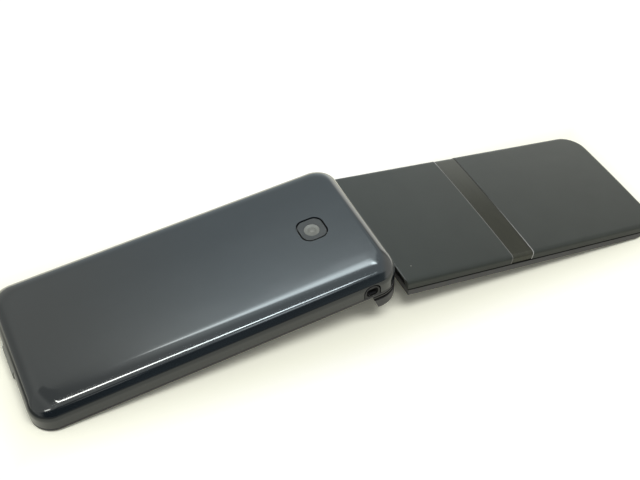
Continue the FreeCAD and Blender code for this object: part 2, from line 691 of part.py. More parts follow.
def make_hinge_caps():
    """Lower part of both knuckles, which closes the bore of the hinge unit from below."""
    for side, word in ((NEAR, "near"), (FAR, "far")):
        cap = new_piece(f"hinge_cap_{word}")
        start_x = axis_x - s.lid_end_inner - s.base_corner
        slab(cap, "body", (start_x, s.base_length), base_y, (knuckle_bottom, knuckle_split), s.base_corner)
        round_edges(cap, "lower_edge", s.knuckle_round, lambda e: lies_at(e, "z", knuckle_bottom))
        relief = knuckle_relief(knuckle_split + 0.5, knuckle_bottom - 0.5)
        extrude(cap, "lid_relief", "XZ_Plane", [relief], grown(base_y, 1), cut=True)
        span = knuckle_span(side)
        rest = (base_y[0] - 1, span[0]) if side == FAR else (span[1], base_y[1] + 1)
        block(cap, "inner_end", (start_x - 1, s.base_length + 1), rest, (knuckle_bottom - 1, knuckle_split + 1),
              cut=True)
        bore = knuckle_span(side, outer=s.unit_end_wall)
        bore = (bore[0] - 1, bore[1]) if side == FAR else (bore[0], bore[1] + 1)
        rod(cap, "unit_bore", "y", (axis_x, axis_z), s.unit_radius + s.unit_play, bore, cut=True)


def make_hinge_parts():
    """Click unit in the far knuckle, pin with its head in the near knuckle, and the lid's shaft."""
    inner = s.hinge_gap
    unit = new_piece("hinge_unit")
    unit_span = knuckle_span(FAR, inner=inner, outer=s.unit_end_wall + s.unit_play)
    rod(unit, "drum", "y", (axis_x, axis_z), s.unit_radius, unit_span)
    rod(unit, "bore", "y", (axis_x, axis_z), s.shaft_radius + s.unit_play, grown(unit_span, 1), cut=True)
    pin = new_piece("hinge_pin")
    head_span = knuckle_span(NEAR, inner=inner, outer=s.unit_end_wall + s.unit_play)
    rod(pin, "head", "y", (axis_x, axis_z), s.unit_radius, head_span)
    pin_end = head_span[1] + 2 * s.hinge_gap + s.shaft_grip
    rod(pin, "shank", "y", (axis_x, axis_z), s.shaft_radius, (head_span[0] + 1, pin_end))
    shaft = new_piece("hinge_shaft", "lid")
    start, end = shaft_span()
    rod(shaft, "shank", "y", (0, 0), s.shaft_radius, (start, unit_span[1] - 2 * s.part_play))


def barrel_span():
    half = s.base_width / 2 - s.knuckle_width - s.hinge_gap
    return (-half, half)


def shaft_span():
    end = barrel_span()[1]
    return end - s.shaft_grip, end


def make_board_and_parts():
    """Main board and the parts that stand on it or hang under it."""
    inset = s.case_wall + s.board_inset
    board = new_piece("main_board")
    slab(board, "plate", grown(case_x, -inset), grown(case_y, -inset), (s.board_bottom, board_top),
         s.base_corner - case_inset - inset)
    for n, (x, y) in enumerate(screw_places):
        rod(board, f"boss_hole_{n}", "z", (x, y), s.boss_radius + s.screw_play,
            (s.board_bottom - 1, board_top + 1), cut=True)
    rooms = part_rooms()
    x, y, height = rooms["antenna"]
    antenna = new_piece("antenna")
    slab(antenna, "carrier", x, y, (board_top, board_top + height), 1)
    x, y, height = rooms["motor"]
    motor = new_piece("vibration_motor")
    rod(motor, "drum", "y", ((x[0] + x[1]) / 2, board_top + s.motor_radius), s.motor_radius, y)
    x, y, height = rooms["can"]
    can = new_piece("shield_can")
    block(can, "box", x, y, (board_top, board_top + height))
    block(can, "inside", grown(x, -0.3), grown(y, -0.3), (board_top - 1, board_top + height - 0.3), cut=True)
    x, y, height = rooms["speaker"]
    speaker = new_piece("loudspeaker")
    slab(speaker, "basket", x, y, (board_top, board_top + height), 3)
    slab(speaker, "cone_bed", grown(x, -1.2), grown(y, -1.2), (board_top + height - 0.6, board_top + height + 1),
         2, cut=True)
    x, y = contact_place()
    contacts = new_piece("battery_contacts")
    block(contacts, "holder", x, y, (board_top, board_top + s.contact_height))
    for n in (-1, 0, 1):
        block(contacts, f"slot_{n + 1}", (x[0] - 1, x[0] + s.contact_length / 3),
              around(n * s.contact_width / 4, s.contact_width / 12),
              (board_top + 1, board_top + s.contact_height + 1), cut=True)
    x, y = card_place()
    holder = new_piece("card_holder")
    floor = case_top - s.card_recess
    slab(holder, "tray", x, y, (floor, case_top - 0.2), 0.7)
    slab(holder, "card_bed", grown(x, -0.8), grown(y, -0.8), (floor + 0.5, case_top), 0.5, cut=True)
    connector = new_piece("charging_connector")
    x = (case_x[0] + 0.1, case_x[0] + 0.1 + s.port_depth)
    z = (board_top, board_top + s.port_height)
    block(connector, "shell", x, centred(s.port_width), z)
    block(connector, "socket", (x[0] - 1, x[1] - 0.6), grown(centred(s.port_width), -0.4), grown(z, -0.3), cut=True)
    block(connector, "tongue", (x[0] + 0.8, x[1] - 0.5), centred(s.port_width * 0.6),
          (z[0] + s.port_height * 0.4, z[0] + s.port_height * 0.62))
    microphone = new_piece("microphone")
    rod(microphone, "can", "z", (microphone_x(), s.microphone_side), s.microphone_radius,
        (s.front_plate + 0.05, s.board_bottom))


def make_battery():
    battery = new_piece("battery")
    x, y = grown(bay_x, -s.battery_play), grown(bay_y, -s.battery_play)
    slab(battery, "cell", x, y, (s.bay_floor, s.bay_floor + s.battery_thickness), s.bay_corner - s.battery_play)
    round_edges(battery, "upper_edge", 0.4, lambda e: lies_at(e, "z", s.bay_floor + s.battery_thickness))


def make_camera():
    """Camera module on the board, bezel on the rear case and window flush with the back cover."""
    middle = (s.camera_middle, 0)
    module = new_piece("camera_module")
    body = centred(s.camera_body)
    block(module, "body", around(s.camera_middle, s.camera_body), body, (board_top, camera_body_top()))
    window_bottom = s.base_back - s.camera_window_sunk - s.camera_window_thickness
    rod(module, "barrel", "z", middle, s.camera_barrel, (board_top + 1, window_bottom - s.part_play / 2))
    rod(module, "lens_opening", "z", middle, s.camera_lens, (window_bottom - 1, window_bottom + 1), cut=True)
    round_edges(module, "body_edges", 0.4, lambda e: lies_at(e, "z", camera_body_top())
                and isinstance(e.Curve, Part.Line))
    bezel = new_piece("camera_bezel")
    slab(bezel, "frame", around(s.camera_middle, s.camera_window_size), centred(s.camera_window_size),
         (case_top, window_bottom), s.camera_window_corner)
    rod(bezel, "hole", "z", middle, s.camera_barrel + s.part_play / 2, (case_top - 1, window_bottom + 1), cut=True)
    window = new_piece("camera_window")
    slab(window, "pane", around(s.camera_middle, s.camera_window_size), centred(s.camera_window_size),
         (window_bottom, s.base_back - s.camera_window_sunk), s.camera_window_corner)


def make_port_cover():
    """Flap over the charging connector, rounded about its own hinge line at its far end."""
    flap = new_piece("port_cover")
    half = s.flap_thickness / 2
    x = (base_x[0] - s.flap_proud, base_x[0] - s.flap_proud + s.flap_thickness)
    y = centred(s.flap_width)
    z = (s.flap_bottom, s.flap_bottom + s.flap_height)
    corners = [(x[0], y[0], half), (x[1], y[0]), (x[1], y[1] - half), (x[0], y[1] - half)]
    extrude(flap, "flap", "XY_Plane", [(corners, {2: HALF_ROUND})], z)


def make_case_screws():
    screws = new_piece("case_screws")
    head_top = case_top - 0.4
    head_bottom = head_top - s.screw_head_height
    for n, (x, y) in enumerate(screw_places):
        rod(screws, f"head_{n}", "z", (x, y), s.screw_head, (head_bottom, head_top))
        rod(screws, f"shank_{n}", "z", (x, y), s.screw_radius, (s.front_plate + 0.5, head_bottom + 0.2))
        for turn, size in (("along", (0.3, 1.6)), ("across", (1.6, 0.3))):
            block(screws, f"cross_{turn}_{n}", around(x, size[0]), around(y, size[1]),
                  (head_top - 0.4, head_top + 1), cut=True)


def row_x(row):
    return s.key_row_start + row * s.key_row_pitch


def key_layout():
    """Name, middle, length, width and corner radius of every key but the ring and the centre key."""
    layout = []
    names = [["key_star", "key_zero", "key_hash"], ["key_seven", "key_eight", "key_nine"],
             ["key_four", "key_five", "key_six"], ["key_one", "key_two", "key_three"],
             ["key_call", "key_clear", "key_end"]]
    for row, labels in enumerate(names):
        for column, label in zip((-1, 0, 1), labels):
            layout.append((label, row_x(row), column * s.key_column_pitch, s.key_length, s.key_width, s.key_corner))
    corners = {"key_mail": (1, -1), "key_menu": (-1, -1), "key_web": (1, 1), "key_book": (-1, 1)}
    for label, (up, side) in corners.items():
        layout.append((label, s.pad_middle + up * s.function_offset, side * s.function_side,
                       s.function_length, s.function_width, s.key_corner))
    return layout


def make_keys():
    """Every key: a cap through its hole, rounded outside, with a lip under the keypad face."""
    proud = -s.key_proud
    lip_z = (s.front_plate + s.key_lip_gap, s.front_plate + s.key_lip_gap + s.key_lip_thickness)
    for label, x, y, size_x, size_y, corner in key_layout():
        key = new_piece(label)
        slab(key, "cap", around(x, size_x), around(y, size_y), (proud, lip_z[1]), corner)
        round_edges(key, "cap_edge", s.key_round, lambda e: lies_at(e, "z", proud))
        slab(key, "lip", grown(around(x, size_x), s.key_lip), grown(around(y, size_y), s.key_lip), lip_z,
             corner + s.key_lip)
    middle = (s.pad_middle, 0)
    ring = new_piece("key_ring")
    rod(ring, "cap", "z", middle, s.ring_radius, (proud, lip_z[1]))
    round_edges(ring, "cap_edge", s.key_round, lambda e: lies_at(e, "z", proud))
    rod(ring, "lip", "z", middle, s.ring_radius + s.key_lip, lip_z)
    rod(ring, "hole", "z", middle, s.ring_hole, (proud - 1, lip_z[1] + 1), cut=True)
    centre = new_piece("key_centre")
    rod(centre, "cap", "z", middle, s.centre_key_radius, (proud, lip_z[1]))
    round_edges(centre, "cap_edge", s.key_round, lambda e: lies_at(e, "z", proud))


def make_keypad_sheets():
    """Rubber mat and dome sheet between the keys and the main board."""
    sheet_x = (row_x(0) - s.key_length / 2 - s.mat_margin,
               s.pad_middle + s.ring_radius + s.mat_margin)
    sheet_y = grown(centred(2 * s.key_column_pitch + s.key_width), s.mat_margin / 2)
    dome_top = s.board_bottom - s.dome_sheet_thickness
    domes = new_piece("dome_sheet")
    slab(domes, "sheet", sheet_x, sheet_y, (dome_top, s.board_bottom), 1)
    mat = new_piece("keypad_mat")
    slab(mat, "sheet", sheet_x, sheet_y, (dome_top - s.mat_thickness, dome_top), 1)


# Places of the lid that several pieces share
lid_y = centred(s.lid_width)
lid_x = (s.lid_end_outer / 2, s.lid_reach)
lid_roof = s.lid_outside - s.lid_wall
lid_face = -s.lid_inside
lid_floor_top = lid_face + s.lid_floor
cavity_x = (s.lid_end_inner + s.lid_wall / 2, s.lid_reach - s.lid_wall)
window_x = (s.window_start, s.window_start + s.window_length)
display_x = grown(window_x, -s.display_margin)
display_y = grown(centred(s.window_width), -s.display_ledge)
display_bottom = lid_face + s.window_thickness
display_top = display_bottom + s.display_thickness
band_x = (s.band_start, s.band_start + s.band_length)
band_middle = s.band_start + s.band_length / 2
bumper_places = [(s.lid_reach - s.bumper_inset, side * s.bumper_side) for side in (NEAR, FAR)]
plug_places = [(s.lid_screw_start, side * s.lid_screw_side) for side in (NEAR, FAR)]


def crown_radius():
    half = s.lid_width / 2
    return (half * half + s.lid_crown * s.lid_crown) / (s.lid_crown * 2)


def lid_plan():
    """Plan outline of the lid: square corners at the hinge end, round ones at the tip."""
    corners = [(lid_x[0], lid_y[0]), (lid_x[1], lid_y[0], s.lid_tip_corner),
               (lid_x[1], lid_y[1], s.lid_tip_corner), (lid_x[0], lid_y[1])]
    return corners, {}


def lid_section(inset, foot):
    """Cross-section of the lid under its crowned outer face, drawn in by inset, down to foot."""
    y = grown(lid_y, -inset)
    shoulder = s.lid_outside - inset
    return [(y[0], foot), (y[1], foot), (y[1], shoulder), (y[0], shoulder)], {2: crown_radius()}


def slant_end(piece, name):
    """Cuts the hinge end of a lid shell along the slanted face."""
    run, rise, length, nearest = lid_end_face()
    slope = run / rise
    above, below = 3, 2
    corners = [(s.lid_end_outer - slope * above, s.lid_outside + above), (-s.lid_end_inner, s.lid_outside + above),
               (-s.lid_end_inner, lid_face - below), (s.lid_end_inner + slope * below, lid_face - below)]
    extrude(piece, name, "XZ_Plane", [(corners, {})], grown(lid_y, 1), cut=True)


def make_lid_outer_case():
    """Crowned outer shell of the lid, with the bed of the window band and the screw bosses."""
    case = new_piece("lid_outer_case", "lid")
    top = s.lid_outside + s.lid_crown + 1
    extrude(case, "shell", "XY_Plane", [lid_plan()], (s.lid_seam, top))
    crown = [(lid_y[0], s.lid_outside), (lid_y[1], s.lid_outside), (lid_y[1], top + 1), (lid_y[0], top + 1)]
    extrude(case, "crown", "YZ_Plane", [(crown, {0: -crown_radius()})], grown(lid_x, 2), cut=True)
    round_edges(case, "shoulders", s.lid_round,
                lambda e: e.BoundBox.ZMin > number(s.lid_outside) - 10 * TOUCH
                and e.CenterOfMass.x > number(s.lid_end_inner))
    slant_end(case, "hinge_end")
    round_edges(case, "end_rim", s.lid_end_round,
                lambda e: e.BoundBox.XMax < number(s.lid_end_inner) and not lies_at(e, "z", s.lid_seam))
    slab(case, "inside", cavity_x, grown(lid_y, -s.lid_wall), (s.lid_seam, lid_roof), s.lid_end_corner,
         cut=True, tip_radius=s.lid_tip_corner - s.lid_wall)
    around_all = [(lid_y[0] - 1, 0), (lid_y[1] + 1, 0), (lid_y[1] + 1, top), (lid_y[0] - 1, top)]
    extrude(case, "band_bed", "YZ_Plane", [(around_all, {}), lid_section(s.band_bed, s.lid_seam / 2)],
            band_x, cut=True)
    block(case, "outside_display_hole", around(band_middle, s.outside_display_length),
          centred(s.outside_display_width), (lid_roof - 1, top), cut=True)
    for n, (x, y) in enumerate(bumper_places + plug_places):
        rod(case, f"boss_{n}", "z", (x, y), s.lid_boss_radius, (lid_floor_top, lid_roof + 0.2))
        rod(case, f"thread_{n}", "z", (x, y), s.screw_radius, (lid_floor_top - 1, lid_roof - 0.3), cut=True)


def make_outside_window():
    """Band-shaped window over the outside display, bent down over both shoulders to the seam."""
    band = new_piece("outside_window", "lid")
    x = grown(band_x, -s.band_play)
    foot = s.lid_seam
    extrude(band, "band", "YZ_Plane", [lid_section(s.band_sunk, foot)], x)
    round_edges(band, "shoulders", s.lid_round - s.band_sunk,
                lambda e: lies_at(e, "z", s.lid_outside - s.band_sunk) and e.BoundBox.YLength < TOUCH)
    inner = lid_section(s.band_bed, foot - 1)
    extrude(band, "inside", "YZ_Plane", [inner], grown(x, 1), cut=True)


def make_lid_inner_case():
    """Display side of the lid, with the window's bed, the arm and the middle barrel of the hinge."""
    case = new_piece("lid_inner_case", "lid")
    extrude(case, "shell", "XY_Plane", [lid_plan()], (lid_face, s.lid_seam))
    slant_end(case, "hinge_end")
    round_edges(case, "front_edge", s.lid_front_round,
                lambda e: lies_at(e, "z", lid_face) and e.CenterOfMass.x > number(s.lid_end_inner) + 1)
    slab(case, "inside", cavity_x, grown(lid_y, -s.lid_wall), (lid_floor_top, s.lid_seam + 1),
         s.lid_end_corner, cut=True, tip_radius=s.lid_tip_corner - s.lid_wall)
    step_x, step_y = (-s.lid_end_inner, s.lid_reach - s.lid_step), grown(lid_y, -s.lid_step)
    frame = rounded(grown(step_x, 5), grown(step_y, 5), s.lid_tip_corner)
    step = rounded(step_x, step_y, s.lid_end_corner, s.lid_tip_corner - s.lid_step)
    extrude(case, "seam_step", "XY_Plane", [frame, step], (s.lid_seam - s.lid_step, s.lid_seam + 1), cut=True)
    slab(case, "window_bed", window_x, centred(s.window_width), (lid_face - 1, display_bottom),
         s.window_corner, cut=True)
    block(case, "display_hole", display_x, display_y, (lid_face, lid_floor_top + 1), cut=True)
    block(case, "earpiece_slot", around(earpiece_x(), s.slot_length), centred(s.slot_width),
          (lid_face - 1, lid_floor_top + 1), cut=True)
    for n, (x, y) in enumerate(bumper_places + plug_places):
        rod(case, f"bed_{n}", "z", (x, y), s.bumper_radius, (lid_face - 1, lid_face + s.bumper_bed), cut=True)
        rod(case, f"screw_hole_{n}", "z", (x, y), s.screw_radius + s.screw_play / 2,
            (lid_face, lid_floor_top + 1), cut=True)
    make_barrel(case)


def make_barrel(case):
    """Middle barrel of the hinge with its arm, bored for the pin, the shaft and the flex cable."""
    span = barrel_span()
    root_x = cavity_x[0] + 0.5
    arm = [(0, -s.barrel_radius * 0.7), (root_x, lid_face), (root_x, s.lid_seam / 2), (0, s.barrel_radius * 0.6)]
    extrude(case, "arm", "XZ_Plane", [(arm, {})], span)
    rod(case, "barrel", "y", (0, 0), s.barrel_radius, span)
    rod(case, "pin_bore", "y", (0, 0), s.shaft_radius + s.unit_play, (span[0] - 1, span[0] + s.shaft_grip),
        cut=True)
    rod(case, "shaft_bore", "y", (0, 0), s.shaft_radius, (span[1] - s.shaft_grip, span[1] + 1), cut=True)
    rod(case, "flex_hollow", "y", (0, 0), s.flex_room, grown(span, -s.shaft_grip - 0.8), cut=True)
    block(case, "flex_slot", (0, root_x + 1), grown(span, -s.shaft_grip - 2.4), (-0.5, 0.5), cut=True)


def earpiece_x():
    return s.lid_reach - s.earpiece_inset


def make_lid_parts():
    """Windows, displays, board, earpiece, magnet and the small parts of the lid."""
    window = new_piece("display_window", "lid")
    slab(window, "pane", grown(window_x, -s.band_play), grown(centred(s.window_width), -s.band_play),
         (lid_face + 0.03, display_bottom), s.window_corner)
    display = new_piece("display_module", "lid")
    block(display, "panel", grown(display_x, -s.part_play), grown(display_y, -s.part_play),
          (display_bottom, display_top))
    outside = new_piece("outside_display", "lid")
    bed = lid_roof
    block(outside, "panel", grown(around(band_middle, s.outside_display_length), -s.part_play / 2),
          grown(centred(s.outside_display_width), -s.part_play / 2), (bed - 0.3, bed - 0.3 + s.outside_display_thickness))
    board = new_piece("lid_board", "lid")
    board_z = display_top + s.lid_board_gap
    block(board, "plate", (cavity_x[0] + s.part_play, band_x[1]), grown(centred(2 * s.lid_screw_side), -2.4),
          (board_z, board_z + s.lid_board_thickness))
    block(board, "riser", around(band_middle, s.outside_display_length * 0.6),
          centred(s.outside_display_width * 0.5), (board_z, bed - 0.3))
    earpiece = new_piece("earpiece", "lid")
    slab(earpiece, "capsule", around(earpiece_x(), s.earpiece_length), centred(s.earpiece_width),
         (lid_floor_top, lid_floor_top + s.earpiece_height), s.earpiece_length / 2.2)
    mesh = new_piece("earpiece_mesh", "lid")
    slab(mesh, "plate", grown(around(earpiece_x(), s.slot_length), -0.05),
         grown(centred(s.slot_width), -0.05), (lid_face + 0.3, lid_face + 0.3 + s.mesh_thickness), 0.3)
    magnet = new_piece("lid_magnet", "lid")
    block(magnet, "bar", (window_x[1] + s.part_play, window_x[1] + s.part_play + s.magnet_size),
          around(s.magnet_side, s.magnet_size), (lid_floor_top, lid_floor_top + s.magnet_height))
    flex = new_piece("hinge_flex", "lid")
    span = grown(barrel_span(), -s.shaft_grip - 1.2)
    rod(flex, "roll", "y", (0, 0), s.flex_room - 0.15, span)
    block(flex, "tail", (s.flex_room / 2, cavity_x[0] + 2), grown(barrel_span(), -s.shaft_grip - 2.8), (-0.12, 0.12))
    rod(flex, "roll_inside", "y", (0, 0), s.flex_room - 0.5, grown(span, 1), cut=True)
    bumpers = new_piece("rubber_bumpers", "lid")
    for n, (x, y) in enumerate(bumper_places):
        rod(bumpers, f"bumper_{n}", "z", (x, y), s.bumper_radius - 0.05,
            (lid_face - s.bumper_proud, lid_face + s.bumper_bed))
    round_edges(bumpers, "face_edges", s.bumper_proud * 0.7, lambda e: lies_at(e, "z", lid_face - s.bumper_proud))
    plugs = new_piece("screw_plugs", "lid")
    for n, (x, y) in enumerate(plug_places):
        rod(plugs, f"plug_{n}", "z", (x, y), s.bumper_radius - 0.05, (lid_face + 0.05, lid_face + s.bumper_bed))
    screws = new_piece("lid_screws", "lid")
    for n, (x, y) in enumerate(bumper_places + plug_places):
        rod(screws, f"shank_{n}", "z", (x, y), s.screw_radius, (lid_face + s.bumper_bed, lid_roof - 0.6))


def resting_pose():
    """Turns of both halves about the y axis, and where the line under the two resting edges lies."""
    tilt = 180 - number(s.open_angle)
    turn = FreeCAD.Rotation(VECTOR(0, 1, 0), tilt)
    axis = VECTOR(number(axis_x), 0, number(axis_z))
    base_edge, lid_edge = number(s.front_round), number(s.lid_front_round)
    first = VECTOR(base_edge, 0, base_edge)
    last = axis + turn.multVec(VECTOR(number(s.lid_reach) - lid_edge, 0, number(lid_face) + lid_edge))
    run = last - first
    slope = math.degrees(math.atan2(run.z, run.x) - math.asin((lid_edge - base_edge) / run.Length))
    base_turn = FreeCAD.Rotation(VECTOR(0, 1, 0), slope)
    lid_turn = FreeCAD.Rotation(VECTOR(0, 1, 0), slope + tilt)
    ground = base_turn.multVec(first).z - base_edge
    return base_turn, lid_turn, base_turn.multVec(axis), ground


def place_pieces():
    """Turns every piece into the resting pose and puts the origin on the ground under the middle."""
    base_turn, lid_turn, axis, ground = resting_pose()
    for half, turn, start in (("base", base_turn, VECTOR(0, 0, 0)), ("lid", lid_turn, axis)):
        for piece in pieces[half]:
            piece.Placement = FreeCAD.Placement(start, turn)
    doc.recompute()
    boxes = [piece.Shape.optimalBoundingBox(False) for half in pieces.values() for piece in half]
    middle = (min(box.XMin for box in boxes) + max(box.XMax for box in boxes)) / 2
    shift = VECTOR(-middle, 0, -ground)
    for half in pieces.values():
        for piece in half:
            piece.Placement.Base = piece.Placement.Base + shift
    doc.recompute()
    print("hinge axis", axis + shift, "base turn", math.degrees(base_turn.Angle), base_turn.Axis)
    print("lid turn", math.degrees(lid_turn.Angle), lid_turn.Axis, "base origin", shift)


def check_and_write():
    failed = [thing.Label for thing in doc.Objects if {"Invalid", "Error"} & set(thing.State)]
    if failed:
        raise RuntimeError("failed features: " + ", ".join(failed))
    for half in pieces.values():
        for piece in half:
            if piece.Shape.isNull() or not piece.Shape.isValid():
                raise RuntimeError(f"{piece.Label} has no valid shape")
    os.makedirs("parts", exist_ok=True)
    for half in pieces.values():
        for piece in half:
            piece.Shape.exportStep(f"parts/{piece.Label}.step")


make_back_cover()
make_rear_case()
make_front_case()
make_hinge_caps()
make_hinge_parts()
make_board_and_parts()
make_battery()
make_camera()
make_port_cover()
make_case_screws()
make_keys()
make_keypad_sheets()
make_lid_outer_case()
make_outside_window()
make_lid_inner_case()
make_lid_parts()
doc.recompute()
place_pieces()
check_and_write()
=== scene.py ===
"""Flip phone, open and lying face down on a pale table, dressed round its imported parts."""

import json
import math
from contextlib import contextmanager

import bmesh
import bpy
from bpy.props import FloatProperty, FloatVectorProperty, PointerProperty
from mathutils import Matrix, Vector


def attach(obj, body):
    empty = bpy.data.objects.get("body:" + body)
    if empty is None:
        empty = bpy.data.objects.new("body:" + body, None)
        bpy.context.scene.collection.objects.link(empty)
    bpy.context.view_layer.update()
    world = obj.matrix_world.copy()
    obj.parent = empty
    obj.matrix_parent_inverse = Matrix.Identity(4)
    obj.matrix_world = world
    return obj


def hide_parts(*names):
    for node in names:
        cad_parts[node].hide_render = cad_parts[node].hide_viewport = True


bl_info = {
    "name": "Flip Phone",
    "version": (1, 0, 0),
    "blender": (4, 5, 0),
    "location": "View3D > Sidebar > Phone",
    "description": "Builds the visible surfaces of a flip phone round its packed parts",
    "category": "Object",
}

MM = 0.001
TOUCH = 1e-7
OPEN_ANGLE = math.radians(166)
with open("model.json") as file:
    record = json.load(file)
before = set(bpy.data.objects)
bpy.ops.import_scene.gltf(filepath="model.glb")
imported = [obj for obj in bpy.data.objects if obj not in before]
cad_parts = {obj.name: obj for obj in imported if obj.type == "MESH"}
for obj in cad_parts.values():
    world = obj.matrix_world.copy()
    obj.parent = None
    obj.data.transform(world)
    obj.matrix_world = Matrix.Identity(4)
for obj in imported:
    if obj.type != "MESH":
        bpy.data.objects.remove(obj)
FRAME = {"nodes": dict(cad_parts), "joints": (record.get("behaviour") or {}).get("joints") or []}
JOINTS = {joint["name"]: joint for joint in FRAME["joints"]}
UP = Vector(JOINTS["back_cover_lift"]["axis"])
HINGE = Vector(JOINTS["lid_hinge"]["pos_m"])
BASE_TILT = math.atan2(UP.x, UP.z)
INNER_FACES = {"keypad": "base", "display": "lid"}
INNER_FACE = Matrix(((0, 1, 0, 0), (1, 0, 0, 0), (0, 0, -1, 0), (0, 0, 0, 1)))


def length(name, description, default):
    return FloatProperty(name=name, description=description, default=default * MM, unit="LENGTH", precision=6)


def angle(name, description, default):
    return FloatProperty(name=name, description=description, default=math.radians(default), unit="ROTATION")


def share(name, description, default):
    return FloatProperty(name=name, description=description, default=default, min=0, subtype="FACTOR")


def colour(name, description, default):
    return FloatVectorProperty(name=name, description=description, default=default, size=3, min=0, max=1,
                               subtype="COLOR")


class PhoneSizes(bpy.types.PropertyGroup):
    """Sizes of the phone, each half in its own frame."""

    base_length: length("Base length", "Bottom end to hinge end", 113.1)
    base_width: length("Base width", "Across the base", 51.0)
    base_corner: length("Base corner", "Corner radius seen from above", 7.0)
    base_back: length("Base back", "Keypad face to the back cover", 9.3)
    cover_rim: length("Cover rim", "Keypad face to the foot of the back cover", 1.2)
    cover_roll: length("Cover roll", "Height of the soft edge round the back cover", 5.0)
    cover_roll_width: length("Cover roll width", "Width of that soft edge", 6.6)
    cover_end_roll: length("Cover end roll width", "Width of the soft edge at the hinge end", 4.2)
    cover_corner_keep: share("Cover corner keep", "How far corners keep their radius on the way in", 0.5)
    cover_fullness: share("Cover fullness", "Shape of the soft edge: 2 is a round one, more is fuller", 2.15)
    cover_crown: length("Cover crown", "Fall of the back cover towards its long edges", 0.25)
    cover_wall: length("Cover wall", "Wall of the back cover", 1.1)
    axis_inset: length("Axis inset", "Hinge end of the base to the hinge axis", 3.46)
    axis_drop: length("Axis drop", "Keypad face down to the hinge axis", 3.095)
    camera_middle: length("Camera middle", "Bottom end to the camera window", 95.7)
    camera_aside: length("Camera aside", "Middle of the base to the middle of the camera window", 0.4)
    camera_window: length("Camera window", "Side of the camera window", 8.0)
    camera_corner: length("Camera corner", "Corner radius of the camera window", 2.6)
    camera_gap: length("Camera gap", "Gap round the camera window", 0.5)
    camera_sunk: length("Camera depth", "Back cover down to the camera window", 0.08)
    camera_pane: length("Camera window thickness", "Pane of the camera window", 0.75)
    lens_middle: length("Lens middle", "Bottom end to the lens", 95.55)
    lens_aside: length("Lens aside", "Middle of the base to the lens", 0.2)
    lens_radius: length("Lens radius", "Clear opening over the lens", 2.4)
    strap_middle: length("Strap middle", "Bottom end to the strap eye", 102.7)
    strap_width: length("Strap eye width", "Tab of the strap eye", 5.0)
    strap_height: length("Strap eye height", "Tab of the strap eye above the rim", 4.2)
    strap_gap: length("Strap gap", "Groove round the strap eye", 0.3)
    flap_width: length("Port cover width", "Port cover across the base", 10.4)
    flap_bottom: length("Port cover foot", "Keypad face to the port cover", 1.5)
    flap_height: length("Port cover height", "Port cover", 4.1)
    lid_reach: length("Lid reach", "Hinge axis to the tip of the lid", 109.65)
    lid_width: length("Lid width", "Across the lid", 50.4)
    lid_tip_corner: length("Lid tip corner", "Corner radius at the tip", 8.0)
    lid_outside: length("Lid outside", "Hinge axis to the shoulders of the outer face", 4.2)
    lid_crown: length("Lid crown", "Rise of the outer face between its shoulders", 0.4)
    lid_inside: length("Lid inside", "Hinge axis to the display face", 2.13)
    lid_seam: length("Lid seam", "Hinge axis to the seam of the lid", 0.97)
    lid_end_outer: length("Lid end, outside", "Hinge axis to the end of the outer face", 4.45)
    lid_end_inner: length("Lid end, inside", "Hinge axis to the end of the display face", 6.6)
    light_along: length("Status light along", "Hinge axis to the tiny lamp", 9.2)
    light_aside: length("Status light aside", "Middle of the lid to the tiny lamp", 19.1)
    light_radius: length("Status light radius", "Tiny lamp", 0.14)
    band_start: length("Band start", "Hinge axis to the window band", 45.0)
    band_length: length("Band length", "Window band along the lid", 8.75)
    # The bright tone of these edges is painted highlight
    band_edge: length("Band edge", "Width of the bright edges of the window band", 0.18)
    band_sunk: length("Band depth", "Outer face down to the window band", 0.12)
    lid_recess: length("Lid end recess", "Depth of the recess in the hinge end of the lid", 0.7)
    lid_rim: length("Lid end rim", "Outer face to that recess", 0.9)
    lid_trim: length("Lid end trim", "Width of the fine trim along the hinge end of the lid", 0.45)
    lid_trim_reach: length("Lid end trim reach", "Trim beyond the hinge end of the outer face", 0.3)
    lid_cheek: length("Lid end cheek", "Side of the lid to that recess", 2.2)
    # The dark lines over the seams are painted shade: black strips that stand for the shade in the grooves
    lid_seam_shade_line: length("Lid seam line", "Height of the dark line over the seam of the lid", 0.22)
    shade_strip_proud: length("Shade strip swell", "Dark joint lines beyond the surface", 0.03)
    shade_strip_deep: length("Shade strip depth", "Dark joint lines into the surface", 0.3)
    barrel_half: length("Barrel", "Half of the lid's barrel with its gaps", 15.6)
    lid_bed: length("Band bed", "Depth of the bed under the window band", 0.7)
    lid_shoulder: length("Lid shoulder", "Width of the soft edge round the outer face", 1.5)
    lid_shoulder_fall: length("Lid shoulder fall", "Height of that soft edge", 1.2)
    strap_hole_width: length("Strap hole width", "Hole in the strap eye", 3.2)
    strap_hole_height: length("Strap hole height", "Hole in the strap eye", 2.5)
    strap_foot: length("Strap hole foot", "Rim of the cover to that hole", 0.6)
    strap_chamfer: length("Strap hole edge", "Width of the dark edge round that hole", 0.3)
    ring_hole: length("Ring hole", "Radius of the hole in the ring key", 5.7)
    arrow_radius: length("Arrow radius", "Middle of the ring key to its small arrows", 10.3)
    key_lip: length("Key lip", "Lip of a key beyond its hole", 0.45)
    key_lip_thickness: length("Key lip thickness", "Lip of a key, along its travel", 0.25)
    key_corner: length("Key corner", "Corner radius of a key", 2.2)
    key_round: length("Key edge", "Radius of a key's upper edge", 0.3)
    print_height: length("Key print", "Thickness of the print on a key", 0.02)
    digit_size: length("Digit size", "Size of the digits on the keys", 5.2)


